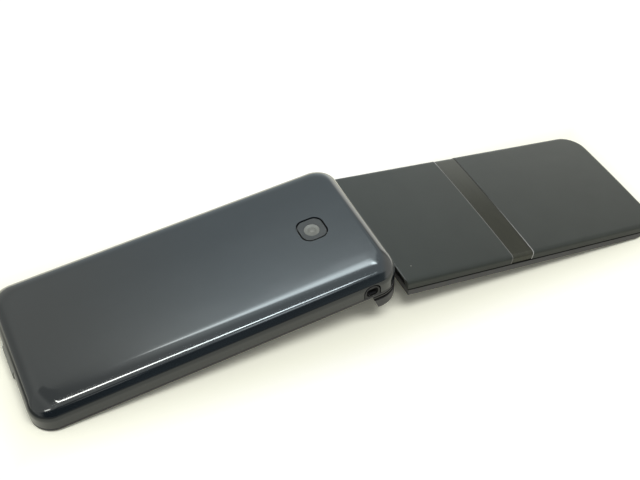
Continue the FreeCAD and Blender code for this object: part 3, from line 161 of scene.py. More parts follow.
class PhoneColours(bpy.types.PropertyGroup):
    """Colours of the finishes."""

    cover: colour("Back cover", "Deep blue-black gloss", (0.005, 0.008, 0.011))
    lid: colour("Lid", "Satin grey-black", (0.018, 0.022, 0.019))
    lid_side: colour("Lid inner case", "Satin grey of the display side", (0.050, 0.050, 0.052))
    band: colour("Window band", "Smoked window over the outside display", (0.021, 0.022, 0.013))
    case: colour("Front case", "Satin grey of the keypad side", (0.045, 0.045, 0.047))
    inner: colour("Rear case", "Plain black plastic inside", (0.022, 0.022, 0.024))
    key: colour("Keys", "Key caps", (0.018, 0.019, 0.021))
    legend: colour("Key print", "Digits and marks on the keys", (0.72, 0.74, 0.76))
    glass: colour("Glass", "Dark window glass", (0.006, 0.007, 0.009))
    board: colour("Board", "Circuit board", (0.012, 0.085, 0.040))
    wrap: colour("Battery wrap", "Battery", (0.055, 0.057, 0.062))
    steel: colour("Steel", "Plated metal", (0.56, 0.57, 0.58))
    floor: colour("Table", "Pale table", (0.81, 0.81, 0.69))


class PhoneStage(bpy.types.PropertyGroup):
    """Camera and lights."""

    azimuth: angle("Azimuth", "Turn of the camera round the phone", -24.866)
    elevation: angle("Elevation", "Height of the camera above the base", 48.701)
    roll: angle("Roll", "Roll of the camera", -2.406)
    distance: length("Distance", "Camera to the point that it looks at", 316.81)
    lens: FloatProperty(name="Lens", description="Focal length on a 36 mm sensor", default=56.81, unit="CAMERA")
    look_x: length("Look along", "Place on the keypad plane that the camera looks at, along the base", 99.318)
    look_y: length("Look across", "The same, across the base", 2.658)
    world: share("World light", "Strength of the plain light from all round", 0.55)
    lamp: FloatProperty(name="Lamp", description="Power of the soft lamp overhead", default=5.6, unit="POWER")


def sizes():
    return bpy.context.scene.phone_sizes


def colours():
    return bpy.context.scene.phone_colours


# Modelling, as by hand: choose, edit, shape with a modifier, settle


def choose(*objects):
    """Selects only these objects; the last one is active."""
    bpy.ops.object.select_all(action="DESELECT")
    for thing in objects:
        thing.select_set(True)
    bpy.context.view_layer.objects.active = objects[-1]


@contextmanager
def editing(piece):
    choose(piece)
    bpy.ops.object.mode_set(mode="EDIT")
    yield
    bpy.ops.object.mode_set(mode="OBJECT")


def pick(kind, wanted):
    """In edit mode, selects only the vertices, edges or faces for which wanted(element) is true."""
    bpy.ops.mesh.select_mode(type=kind)
    bpy.ops.mesh.select_all(action="DESELECT")
    mesh = bmesh.from_edit_mesh(bpy.context.edit_object.data)
    for element in {"VERT": mesh.verts, "EDGE": mesh.edges, "FACE": mesh.faces}[kind]:
        if wanted(element):
            element.select_set(True)
    mesh.select_flush_mode()
    bmesh.update_edit_mesh(bpy.context.edit_object.data)


def apply_place(piece):
    choose(piece)
    bpy.ops.object.transform_apply(location=True, rotation=True, scale=True)


def name_new(name):
    piece = bpy.context.object
    piece.name = name
    piece.data.name = name
    apply_place(piece)
    return piece


def block(name, low, high):
    """A block between two corners, in the half's own frame."""
    low, high = Vector(low), Vector(high)
    bpy.ops.mesh.primitive_cube_add(size=1, location=(low + high) / 2, scale=high - low)
    return name_new(name)


def disc(name, centre, radius, height, corners=48):
    """A round bar that starts at centre and runs upwards."""
    bpy.ops.mesh.primitive_cylinder_add(vertices=corners, radius=radius, depth=height,
                                        location=Vector(centre) + Vector((0, 0, height / 2)))
    return name_new(name)


def is_upright(edge, axis=2):
    run = edge.verts[1].co - edge.verts[0].co
    return abs(run[axis]) > 0.999 * run.length


def top_face(face):
    return face.normal.z > 0.999


def bottom_face(face):
    return face.normal.z < -0.999


def round_corners(piece, radius, segments=10, wanted=lambda edge: True, axis=2):
    """Rounds the edges that run along one axis."""
    with editing(piece):
        pick("EDGE", lambda edge: is_upright(edge, axis) and wanted(edge))
        bpy.ops.mesh.bevel(offset=radius, segments=segments, affect="EDGES", clamp_overlap=False)


def rounded_block(name, low, high, radius, segments=10, wanted=lambda edge: True):
    piece = block(name, low, high)
    round_corners(piece, radius, segments, wanted)
    return piece


def roll_steps(width, height, power, count):
    """Steps inwards and upwards of a soft edge, from an upright wall to a flat top."""
    turns = [math.pi / 2 * n / count for n in range(count + 1)]
    places = [(width * (1 - math.cos(t) ** (2 / power)), height * math.sin(t) ** (2 / power)) for t in turns]
    return [(b[0] - a[0], b[1] - a[1]) for a, b in zip(places, places[1:])]


def roll(piece, steps):
    """Rolls the rim of the flat top inwards in steps of insets."""
    with editing(piece):
        pick("FACE", top_face)
        for inwards, upwards in steps:
            bpy.ops.mesh.inset(thickness=inwards, depth=upwards, use_even_offset=True)


def slice_across(piece, half, count, last):
    """Cuts the mesh into strips that run along it, so that it can bend: count strips to each half."""
    with editing(piece):
        for n in range(-last, last + 1):
            bpy.ops.mesh.select_all(action="SELECT")
            bpy.ops.mesh.bisect(plane_co=(0, half * n / count, 0), plane_no=(0, 1, 0))


def shape_with(piece, kind, **settings):
    """Adds a modifier and applies it."""
    choose(piece)
    bpy.ops.object.modifier_add(type=kind)
    modifier = piece.modifiers[-1]
    for name, value in settings.items():
        setattr(modifier, name, value)
    bpy.ops.object.modifier_apply(modifier=modifier.name)


def carve(piece, cutter, operation="DIFFERENCE"):
    shape_with(piece, "BOOLEAN", object=cutter, operation=operation, solver="EXACT")
    bpy.data.objects.remove(cutter)


def join(name, *objects):
    choose(*objects)
    bpy.ops.object.join()
    return name_new(name)


def bow(piece, low, high, rise, power):
    """Lifts what lies between the long edges, by a lattice whose upper points follow a curve."""
    low, high = Vector(low), Vector(high)
    bpy.ops.object.add(type="LATTICE", location=(low + high) / 2)
    lattice = bpy.context.object
    lattice.scale = high - low
    net = lattice.data
    net.points_u, net.points_v, net.points_w = 2, 13, 2
    net.interpolation_type_u = net.interpolation_type_w = "KEY_LINEAR"
    net.interpolation_type_v = "KEY_CATMULL_ROM"
    for point in net.points:
        if point.co.z > 0:
            point.co_deform.z += rise * (1 - abs(2 * point.co.y) ** power) / (high.z - low.z)
    bpy.context.view_layer.update()
    shape_with(piece, "LATTICE", object=lattice)
    bpy.data.objects.remove(lattice)


def smooth(piece, degrees, crisp=0):
    """Smooth shading with crisp edges; crisp is the width of a fine bevel along them."""
    if crisp:
        shape_with(piece, "BEVEL", width=crisp, segments=2, limit_method="ANGLE",
                   angle_limit=math.radians(degrees))
    choose(piece)
    bpy.ops.object.shade_smooth_by_angle(angle=math.radians(degrees))
    shape_with(piece, "WEIGHTED_NORMAL", keep_sharp=True)


def half_place(half):
    """Where a half's own frame lies in the resting pose.

    keypad and display are the same frames seen from inside: x to the right, y up and z towards the user.
    """
    if half in INNER_FACES:
        return half_place(INNER_FACES[half]) @ INNER_FACE
    if half == "lid":
        return Matrix.Translation(HINGE) @ Matrix.Rotation(BASE_TILT + math.pi - OPEN_ANGLE, 4, "Y")
    turn = Matrix.Rotation(BASE_TILT, 4, "Y")
    size = sizes()
    axis = Vector((size.base_length - size.axis_inset, 0, -size.axis_drop))
    return Matrix.Translation(HINGE - turn @ axis) @ turn


def extent(places):
    """Lowest and highest corners of some places."""
    places = list(places)
    return (Vector([min(place[n] for place in places) for n in range(3)]),
            Vector([max(place[n] for place in places) for n in range(3)]))


def node_box(name, half):
    """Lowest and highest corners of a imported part, in a half's own frame."""
    back = half_place(half).inverted() @ FRAME["nodes"][name].matrix_world
    return extent(back @ vert.co for vert in FRAME["nodes"][name].data.vertices)


def copy_of(piece, name, shift):
    """A copy with its own mesh, moved by shift."""
    choose(piece)
    bpy.ops.object.duplicate(linked=False)
    bpy.context.object.location = shift
    return name_new(name)


def settle(piece, half, body, finish, slot, *nodes):
    """Puts a finished piece into the resting pose, gives it its finish and lets it ride on its body."""
    piece.matrix_world = half_place(half) @ piece.matrix_world
    apply_place(piece)
    piece.data.materials.clear()
    piece.data.materials.append(FINISHES[finish])
    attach(piece, body)
    if nodes:
        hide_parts(*nodes)
    return piece


# Finishes


class Signal:
    """A number that varies over a surface; arithmetic on it adds Math nodes."""

    def __init__(self, net, socket):
        self.net = net
        self.socket = socket

    def math(self, operation, *others):
        return self.net.math(operation, self, *others)

    def __add__(self, other):
        return self.math("ADD", other)

    def __radd__(self, other):
        return self.net.math("ADD", other, self)

    def __sub__(self, other):
        return self.math("SUBTRACT", other)

    def __rsub__(self, other):
        return self.net.math("SUBTRACT", other, self)

    def __mul__(self, other):
        return self.math("MULTIPLY", other)

    def __abs__(self):
        return self.math("ABSOLUTE")

    def least(self, other):
        return self.math("MINIMUM", other)

    def most(self, other):
        return self.math("MAXIMUM", other)

    def above(self, edge, soft):
        """0 below edge, 1 above it, over a soft width."""
        return self.net.node("ShaderNodeMapRange", {"interpolation_type": "SMOOTHSTEP"},
                             {"Value": self, "From Min": edge - soft, "From Max": edge + soft})

    def below(self, edge, soft):
        return 1 - self.above(edge, soft)

    def within(self, middle, reach, soft):
        """1 within a reach of the middle, 0 outside it."""
        return abs(self - middle).below(reach, soft)


class Net:
    """A node tree, written as expressions."""

    def __init__(self, tree):
        self.tree = tree

    def put(self, socket, value):
        if isinstance(value, Signal):
            value = value.socket
        if isinstance(value, bpy.types.NodeSocket):
            self.tree.links.new(value, socket)
        elif socket.type == "RGBA":
            socket.default_value = (*value, 1)
        else:
            socket.default_value = value

    def node(self, kind, settings=None, sockets=None, output=0):
        node = self.tree.nodes.new(kind)
        for name, value in (settings or {}).items():
            setattr(node, name, value)
        for name, value in (sockets or {}).items():
            self.put(node.inputs[name], value)
        return Signal(self, node.outputs[output])

    def math(self, operation, *values):
        return self.node("ShaderNodeMath", {"operation": operation}, dict(enumerate(values)))

    def axes(self, point):
        """The three coordinates of a point, as numbers."""
        return [self.node("ShaderNodeSeparateXYZ", {}, {"Vector": point}, output=n) for n in range(3)]

    def stretch(self, point, scale):
        return self.node("ShaderNodeVectorMath", {"operation": "MULTIPLY"}, {0: point, 1: scale})

    def noise(self, point, grain, detail=2.0, rough=0.5):
        """Noise from about 0 to 1 whose features are about one grain wide."""
        return self.node("ShaderNodeTexNoise", {}, {"Vector": point, "Scale": 1 / grain, "Detail": detail,
                                                    "Roughness": rough})

    def cells(self, point, grain):
        return self.node("ShaderNodeTexVoronoi", {}, {"Vector": point, "Scale": 1 / grain})

    def mix(self, factor, first, second):
        node = self.tree.nodes.new("ShaderNodeMix")
        node.data_type = "RGBA"
        self.put(node.inputs["Factor"], factor)
        self.put(node.inputs[6], first)
        self.put(node.inputs[7], second)
        return Signal(self, node.outputs[2])

    def mix_shaders(self, factor, first, second):
        return self.node("ShaderNodeMixShader", {}, {0: factor, 1: first, 2: second})


class Finish(Net):
    """One procedural material, built node by node."""

    def __init__(self, name, base, roughness, **fixed):
        self.material = bpy.data.materials.new(name)
        self.material.use_nodes = True
        super().__init__(self.material.node_tree)
        self.shader = self.tree.nodes["Principled BSDF"]
        self.put(self.shader.inputs["Base Color"], base)
        self.put(self.shader.inputs["Roughness"], roughness)
        for socket, value in fixed.items():
            self.put(self.shader.inputs[socket.replace("_", " ")], value)
        self.material.diffuse_color = (*base, 1)
        self.base = base

    def place(self, half=None):
        """Object coordinates, turned and moved into a half's own frame where one is named."""
        point = self.node("ShaderNodeTexCoord", output=3)
        if half:
            back = half_place(half).inverted()
            point = self.node("ShaderNodeMapping", {}, {"Vector": point, "Location": back.to_translation(),
                                                        "Rotation": back.to_euler()})
        return point

    def paint(self, socket, value):
        self.put(self.shader.inputs[socket], value)

    def tone(self, share):
        return Vector(self.base) * share

    def shade(self, factor, darker, lighter, roughness, height, depth):
        """Paints the colour between two tones, the roughness and bumps that are depth mm high."""
        self.paint("Base Color", self.mix(factor, darker, lighter))
        self.paint("Roughness", roughness)
        self.paint("Normal", self.node("ShaderNodeBump", {}, {"Height": height, "Distance": depth * MM}))
        return self.material


def plain(name, base, roughness, half, cloud=6.0, grain=0.25, change=0.18, spread=0.06, depth=0.004, **fixed):
    """The unevenness of a moulded or painted skin: slow clouds, fine grain, and handling marks.

    cloud and grain are in mm; change is the share by which the colour varies, spread the same for the
    roughness, and depth the height of the grain in mm.
    """
    finish = Finish(name, tuple(base), roughness, **fixed)
    point = finish.place(half)
    clouds = finish.noise(point, cloud * MM, 3)
    fine = finish.noise(point, grain * MM, 2)
    smears = finish.noise(finish.stretch(point, (0.35, 1, 1)), cloud * 0.6 * MM, 4, 0.6)
    uneven = (roughness - spread / 2) + smears.above(0.52, 0.2) * spread + (fine - 0.5) * spread * 0.5
    return finish.shade((clouds * 0.75 + fine * 0.25).above(0.5, 0.28), finish.tone(1 - change),
                        finish.tone(1 + change), uneven, fine, depth)


def cover_finish():
    """Glossy moulded cover with a trace of pearl, faint orange peel and handling marks."""
    finish = Finish("cover_gloss", tuple(colours().cover), 0.1, Coat_Weight=1.0, Coat_Roughness=0.03)
    point = finish.place("base")
    pearl = finish.noise(point, 0.12 * MM, 2)
    slow = finish.noise(point, 22 * MM, 2)
    peel = finish.noise(point, 1.6 * MM, 1)
    smears = finish.noise(finish.stretch(point, (0.3, 1, 1)), 5 * MM, 4, 0.6)
    return finish.shade((pearl * 0.6 + slow * 0.4).above(0.5, 0.2), finish.tone(0.8), finish.tone(1.2),
                        0.09 + smears.above(0.55, 0.2) * 0.05, peel * 0.8 + pearl * 0.2, 0.0005)


def band_finish():
    """Smoked window with faint cloudiness below the surface."""
    finish = Finish("band_window", tuple(colours().band), 0.12)
    point = finish.place("lid")
    along = finish.noise(finish.stretch(point, (1, 0.15, 1)), 1.2 * MM, 2)
    return finish.shade(along.above(0.5, 0.3), finish.tone(0.85), finish.tone(1.15),
                        0.1 + finish.noise(point, 4 * MM, 3) * 0.06, finish.noise(point, 2.5 * MM, 1), 0.001)


def edge_highlight_finish(name, near, far, middle, soft):
    """Bevelled edge of a window, with a painted highlight: its colour runs from one tone to the other across
    the lid, lighter where the edge would catch the light.
    """
    finish = Finish(name, near, 0.3)
    point = finish.place("lid")
    x, y, z = finish.axes(point)
    grain = finish.noise(point, 0.6 * MM, 2)
    return finish.shade(y.above(middle, soft), near, far, 0.26 + grain * 0.08, grain, 0.002)


def lens_finish():
    """Pale back of the lens with a faint swirl."""
    finish = Finish("lens", (0.17, 0.175, 0.155), 0.3)
    point = finish.place("base")
    size = sizes()
    x, y, z = finish.axes(point)
    x, y = x - size.lens_middle, y - size.lens_aside
    swirl = finish.noise(finish.stretch(point, (1, 1.6, 1)), 1.4 * MM, 3, 0.6)
    ring = (x * x + y * y).math("SQRT").within(1.2 * MM, 0.12 * MM, 0.1 * MM)
    return finish.shade((swirl - ring * 0.25).above(0.5, 0.25), finish.tone(0.8), finish.tone(1.15),
                        0.26 + swirl * 0.1, swirl, 0.004)


def glass_finish():
    """Black-backed window glass with the faintest smears."""
    finish = Finish("window_dark", tuple(colours().glass), 0.06, Coat_Weight=0.4, Coat_Roughness=0.02)
    point = finish.place("base")
    smears = finish.noise(finish.stretch(point, (1, 0.4, 1)), 7 * MM, 4, 0.65)
    return finish.shade(smears, finish.tone(0.8), finish.tone(1.3), 0.06 + smears.above(0.6, 0.15) * 0.07,
                        finish.noise(point, 6 * MM, 1), 0.0008)


def steel_finish():
    """Plated sheet metal with fine drawn lines."""
    finish = Finish("steel", tuple(colours().steel), 0.32, Metallic=1.0)
    point = finish.place("base")
    lines = finish.noise(finish.stretch(point, (0.1, 1, 1)), 0.12 * MM, 2)
    return finish.shade(finish.noise(point, 3 * MM, 3), finish.tone(0.82), finish.tone(1.05),
                        0.32 + (lines - 0.5) * 0.18, lines, 0.002)


def board_finish():
    """Circuit board with fine traces and round pads."""
    finish = Finish("board", tuple(colours().board), 0.42)
    point = finish.place("base")
    pads = 1 - finish.cells(point, 2.2 * MM).above(0.16, 0.02)
    lines = finish.node("ShaderNodeTexWave", {"wave_type": "BANDS", "bands_direction": "DIAGONAL"},
                        {"Vector": point, "Scale": 420.0, "Distortion": 5.0, "Detail": 1.0}, output=1)
    traces = lines.above(0.8, 0.06)
    green = finish.mix(traces, finish.tone(0.8), finish.tone(1.5))
    finish.paint("Metallic", pads)
    return finish.shade(pads, green, (0.60, 0.44, 0.20), 0.42 - pads * 0.16, traces.most(pads), 0.02)


def wrap_finish():
    """Battery wrap with a lighter panel inside a printed rule."""
    finish = Finish("battery_wrap", tuple(colours().wrap), 0.38)
    point = finish.place("base")
    x, y, z = finish.axes(point)
    inside = (20.5 * MM - abs(y)).least(26.0 * MM - abs(x - 39 * MM))
    panel = inside.above(3.2 * MM, 0.05 * MM) * abs(inside - 4.2 * MM).above(0.12 * MM, 0.03 * MM)
    film = finish.noise(point, 0.5 * MM, 2)
    return finish.shade(panel, finish.tone(0.75), finish.tone(2.6), 0.32 + film * 0.1, film, 0.006)


def screen_finish():
    """Black window with the slightly lighter field of the display below it."""
    finish = Finish("display_glass", tuple(colours().glass), 0.06, Coat_Weight=0.4, Coat_Roughness=0.02)
    point = finish.place("lid")
    x, y, z = finish.axes(point)
    field = (18.2 * MM - abs(y)).least(33.5 * MM - abs(x - 58 * MM)).above(0, 0.04 * MM)
    smears = finish.noise(finish.stretch(point, (1, 0.4, 1)), 8 * MM, 4, 0.65)
    return finish.shade(field, finish.tone(0.7), (0.016, 0.018, 0.021), 0.05 + smears.above(0.6, 0.15) * 0.08,
                        finish.noise(point, 6 * MM, 1), 0.0008)


def floor_finish(floor):
    """Pale table that reads as white to the camera and still takes the phone's soft shadow. Its warm tint near
    the phone is painted shade colour, and the table as gloss sees it carries painted reflection shade.
    """
    finish = Finish("table", tuple(floor), 0.55)
    tree = finish.tree
    path = tree.nodes.new("ShaderNodeLightPath")
    seen = finish.math("MAXIMUM", path.outputs["Is Camera Ray"], path.outputs["Is Transmission Ray"])
    point = finish.place()
    x, y, z = finish.axes(point)
    # How far a place lies outside the phone's outline, and behind the phone
    away = (abs(y) - 25 * MM).most(abs(x) - 109 * MM)
    beyond = y.above(30 * MM, 20 * MM)
    # Painted reflection shade: gloss sees the table darker in front of the phone and brighter behind it
    reflection_shade = (away - (x + 100 * MM) * 0.9).above(32 * MM, 10 * MM) * (1 - beyond) * 0.5 + 0.25 - beyond * 0.6
    gain = 1 + seen * 0.36 - reflection_shade * Signal(finish, path.outputs["Is Glossy Ray"])
    tone = Vector(floor)
    cloudy = finish.mix(finish.noise(point, 40 * MM, 2), tone * 0.985, tone)
    # Painted shade colour: the camera sees the table warm near the phone, where its shadow falls, and whiter
    # further off
    cloudy = finish.mix(away.above(12 * MM, 11 * MM) * seen, cloudy, (0.86, 0.86, 0.87))
    bright = finish.node("ShaderNodeVectorMath", {"operation": "SCALE"}, {"Vector": cloudy, "Scale": gain})
    surface = finish.node("ShaderNodeBsdfDiffuse", {}, {"Color": bright})
    finish.put(tree.nodes["Material Output"].inputs["Surface"], surface)
    tree.nodes.remove(finish.shader)
    return finish.material


FINISHES = {}


def make_finishes():
    """Every finish of the phone, once."""
    tone = colours()
    FINISHES.update(
        cover=cover_finish(),
        lid=plain("lid_satin", tone.lid, 0.34, "lid", cloud=9, grain=0.18, change=0.12, spread=0.05,
                  depth=0.005),
        lid_side=plain("lid_inner", tone.lid_side, 0.40, "lid", cloud=7, grain=0.2, change=0.1, spread=0.05),
        band=band_finish(),
        case=plain("case_satin", tone.case, 0.36, "base", cloud=8, grain=0.2, change=0.1, spread=0.06),
        inner=plain("case_inner", tone.inner, 0.46, "base", cloud=5, grain=0.3, depth=0.008),
        black=plain("black_part", (0.014, 0.014, 0.015), 0.5, "base", grain=0.3, depth=0.008),
        bezel=plain("bezel", (0.030, 0.031, 0.030), 0.33, "base", grain=0.15, depth=0.003),
        lens=lens_finish(),
        # Painted highlight: the band's edge strips are painted bright along part of their length, where they
        # would catch the light
        band_edge_hinge=edge_highlight_finish("band_edge_hinge", (0.19, 0.19, 0.18), (0.5, 0.5, 0.49), 22 * MM, 5 * MM),
        band_edge_tip=edge_highlight_finish("band_edge_tip", (0.45, 0.45, 0.44), (0.03, 0.03, 0.028), -9 * MM, 17 * MM),
        trim=plain("lid_trim", (0.055, 0.058, 0.054), 0.3, "lid", cloud=4, grain=0.15, change=0.08),
        # Painted highlight: the port cover's pale tone stands for the bright light along its edge
        flap=plain("port_flap", (0.22, 0.225, 0.205), 0.4, "base", cloud=3, grain=0.15, change=0.08),
        # Painted shade: black with little gloss, for strips that stand for the shade in grooves and holes
        shadow=plain("groove_shade_line", (0.004, 0.004, 0.004), 0.7, "base", grain=0.3, Specular_IOR_Level=0.1),
        rubber=plain("soft_rubber", (0.028, 0.028, 0.030), 0.62, "lid", grain=0.12, depth=0.01),
        mat=plain("mat_rubber", (0.30, 0.31, 0.32), 0.6, "base", grain=0.2, depth=0.01),
        film=plain("film", (0.42, 0.40, 0.34), 0.28, "base", cloud=3, grain=0.4, depth=0.004),
        key=plain("key_cap", tone.key, 0.30, "base", cloud=3, grain=0.12, change=0.15, spread=0.08,
                  depth=0.003),
        ring=plain("key_ring", (0.030, 0.031, 0.034), 0.22, "base", cloud=3, grain=0.1, change=0.12,
                   spread=0.06, depth=0.002),
        legend=plain("key_print", tone.legend, 0.5, "base", grain=0.08, change=0.05, depth=0.002),
        call=plain("call_print", (0.05, 0.50, 0.12), 0.5, "base", grain=0.08, change=0.05, depth=0.002),
        end=plain("end_print", (0.60, 0.04, 0.03), 0.5, "base", grain=0.08, change=0.05, depth=0.002),
        wrap=wrap_finish(),
        board=board_finish(),
        glass=glass_finish(),
        screen=screen_finish(),
        steel=steel_finish(),
    )


# Parts that are carried over as they are, by finish
CARRIED = {
    "inner": "rear_case antenna hinge_flex",
    "case": "front_case hinge_cap_near hinge_cap_far",
    "steel": "hinge_unit hinge_pin hinge_shaft vibration_motor shield_can card_holder charging_connector "
             "microphone case_screws lid_screws lid_magnet earpiece_mesh",
    "board": "main_board lid_board",
    "black": "loudspeaker battery_contacts camera_module earpiece display_module outside_display",
    "wrap": "battery",
    "bezel": "camera_bezel",
    "film": "dome_sheet",
    "mat": "keypad_mat",
    "rubber": "rubber_bumpers screw_plugs",
    "lid_side": "lid_inner_case",
    "screen": "display_window",
    "glass": "camera_window",
    "key": " ".join(name for name in FRAME["nodes"] if name.startswith("key_")),
}


class PHONE_OT_inner_parts(bpy.types.Operator):
    """Give the parts inside both halves their finishes"""

    bl_idname = "phone.inner_parts"
    bl_label = "Inner parts"

    def execute(self, context):
        make_finishes()
        for finish, names in CARRIED.items():
            for name in names.split():
                for slot in FRAME["nodes"][name].material_slots:
                    slot.material = FINISHES[finish]
        return {"FINISHED"}


class PHONE_OT_back_cover(bpy.types.Operator):
    """Glossy back cover with its soft edge, camera hole and notches, and the cover of the port"""

    bl_idname = "phone.back_cover"
    bl_label = "Back cover"

    def execute(self, context):
        size = sizes()
        half = size.base_width / 2
        spring = size.base_back - size.cover_roll
        cover = rounded_block("cover_shell", (0, -half, size.cover_rim), (size.base_length, half, spring),
                              size.base_corner, 16)
        self.roll_over(cover, size, spring)
        with editing(cover):
            pick("FACE", bottom_face)
            bpy.ops.mesh.delete(type="FACE")
        slice_across(cover, half, 10, 8)
        bow(cover, (0, -half, 0), (size.base_length, half, size.base_back), size.cover_crown, 3)
        shape_with(cover, "SOLIDIFY", thickness=size.cover_wall, offset=-1, use_rim=True, use_even_offset=True)
        hole = size.camera_window / 2 + size.camera_gap
        x, y = size.camera_middle, size.camera_aside
        carve(cover, rounded_block("hole", (x - hole, y - hole, spring),
                                   (x + hole, y + hole, size.base_back + MM),
                                   size.camera_corner + size.camera_gap, 8))
        carve(cover, self.strap_notch(size, half))
        flap = size.flap_width / 2 + size.strap_gap
        carve(cover, block("port", (-MM, -flap, 0),
                           (2 * MM, flap, size.flap_bottom + size.flap_height + size.strap_gap)))
        smooth(cover, 35, 0.07 * MM)
        settle(cover, "base", "back_cover", "cover", "cover_gloss", "back_cover")
        self.port_flap()
        return {"FINISHED"}

    def port_flap(self):
        """Cover of the charging port, rounded towards its edges, on its own hinge; its pale tone is painted
        highlight for the light along its edge.
        """
        low, high = node_box("port_cover", "base")
        flap = block("port_flap", low, high)
        round_corners(flap, 1.2 * MM, 8, lambda edge: edge.verts[0].co.x < low.x + 0.1 * MM, axis=1)
        round_corners(flap, 0.62 * MM, 6)
        smooth(flap, 40, 0.12 * MM)
        settle(flap, "base", "port_cover", "flap", "soft_rubber", "port_cover")

    def roll_over(self, cover, size, top):
        """Rolls the rim of the top inwards; its corners stay rounder than an inset would leave them."""
        middle = size.base_length / 2
        across = [size.base_width / 2, size.base_corner]
        ends = {-1: [middle, size.base_corner, 1.0],
                1: [middle, size.base_corner, size.cover_end_roll / size.cover_roll_width]}
        shrink = 1 - size.cover_corner_keep
        with editing(cover):
            for inwards, upwards in roll_steps(size.cover_roll_width, size.cover_roll - size.cover_crown,
                                               size.cover_fullness, 16):
                pick("FACE", lambda face: face.normal.z > 0.9
                     and all(vert.co.z > top - TOUCH for vert in face.verts))
                bpy.ops.mesh.extrude_region_move(TRANSFORM_OT_translate={"value": (0, 0, upwards)})
                top += upwards
                for end, (reach, radius, slower) in ends.items():
                    drop = inwards * shrink
                    for side in (-1, 1):
                        pick("VERT", lambda vert: vert.co.z > top - TOUCH and (vert.co.x - middle) * end > 0
                             and vert.co.y * side > 0)
                        shift = Vector((end * (drop - inwards) * slower, side * (drop - inwards), 0))
                        centre = Vector((middle + end * (reach - radius), side * (across[0] - across[1]), top))
                        bpy.ops.transform.translate(value=shift)
                        bpy.ops.transform.resize(value=(1 - drop * slower / radius, 1 - drop / across[1], 1),
                                                 center_override=centre + shift)
                    ends[end] = [reach - inwards * slower, radius - drop * slower, slower]
                across = [across[0] - inwards, across[1] - inwards * shrink]

    def strap_notch(self, size, half):
        """Notch round the tab of the strap eye, which stands in the near side."""
        reach = size.strap_width / 2 + size.strap_gap
        top = size.cover_rim + size.strap_height + size.strap_gap
        cutter = block("notch", (size.strap_middle - reach, -half - MM, 0),
                       (size.strap_middle + reach, -half + 2.5 * MM, top))
        round_corners(cutter, reach * 0.8, 10, lambda edge: edge.verts[0].co.z > top - MM, axis=1)
        return cutter


class PHONE_OT_camera(bpy.types.Operator):
    """Camera window, its printed frame and the lens"""

    bl_idname = "phone.camera"
    bl_label = "Camera"

    def execute(self, context):
        size = sizes()
        half = size.camera_window / 2
        x, y, top = size.camera_middle, size.camera_aside, size.base_back - size.camera_sunk
        pane = rounded_block("camera_pane", (x - half, y - half, top - size.camera_pane),
                             (x + half, y + half, top), size.camera_corner, 10)
        x, y = size.lens_middle, size.lens_aside
        carve(pane, disc("hole", (x, y, top - MM), size.lens_radius, 2 * MM, 64))
        smooth(pane, 35, 0.1 * MM)
        settle(pane, "base", "base", "bezel", "window_dark", "camera_window")
        # A pale disc under the opening, with the shallow front lens at its middle
        disc_steps = [(0.5 * MM, -0.04 * MM), (0.7 * MM, -0.06 * MM), (0.1 * MM, -0.1 * MM)]
        self.lens_part("lens_cone", (x, y, top - 0.7 * MM), size.lens_radius - 0.02 * MM, 0.58 * MM, disc_steps)
        self.lens_part("lens_glass", (x, y, top - 0.5 * MM), 1.05 * MM, 0.12 * MM,
                       roll_steps(0.95 * MM, 0.2 * MM, 2, 8))
        return {"FINISHED"}

    def lens_part(self, name, centre, radius, height, steps):
        part = disc(name, centre, radius, height, 64)
        roll(part, steps)
        smooth(part, 40)
        settle(part, "base", "base", "lens", "window_dark")


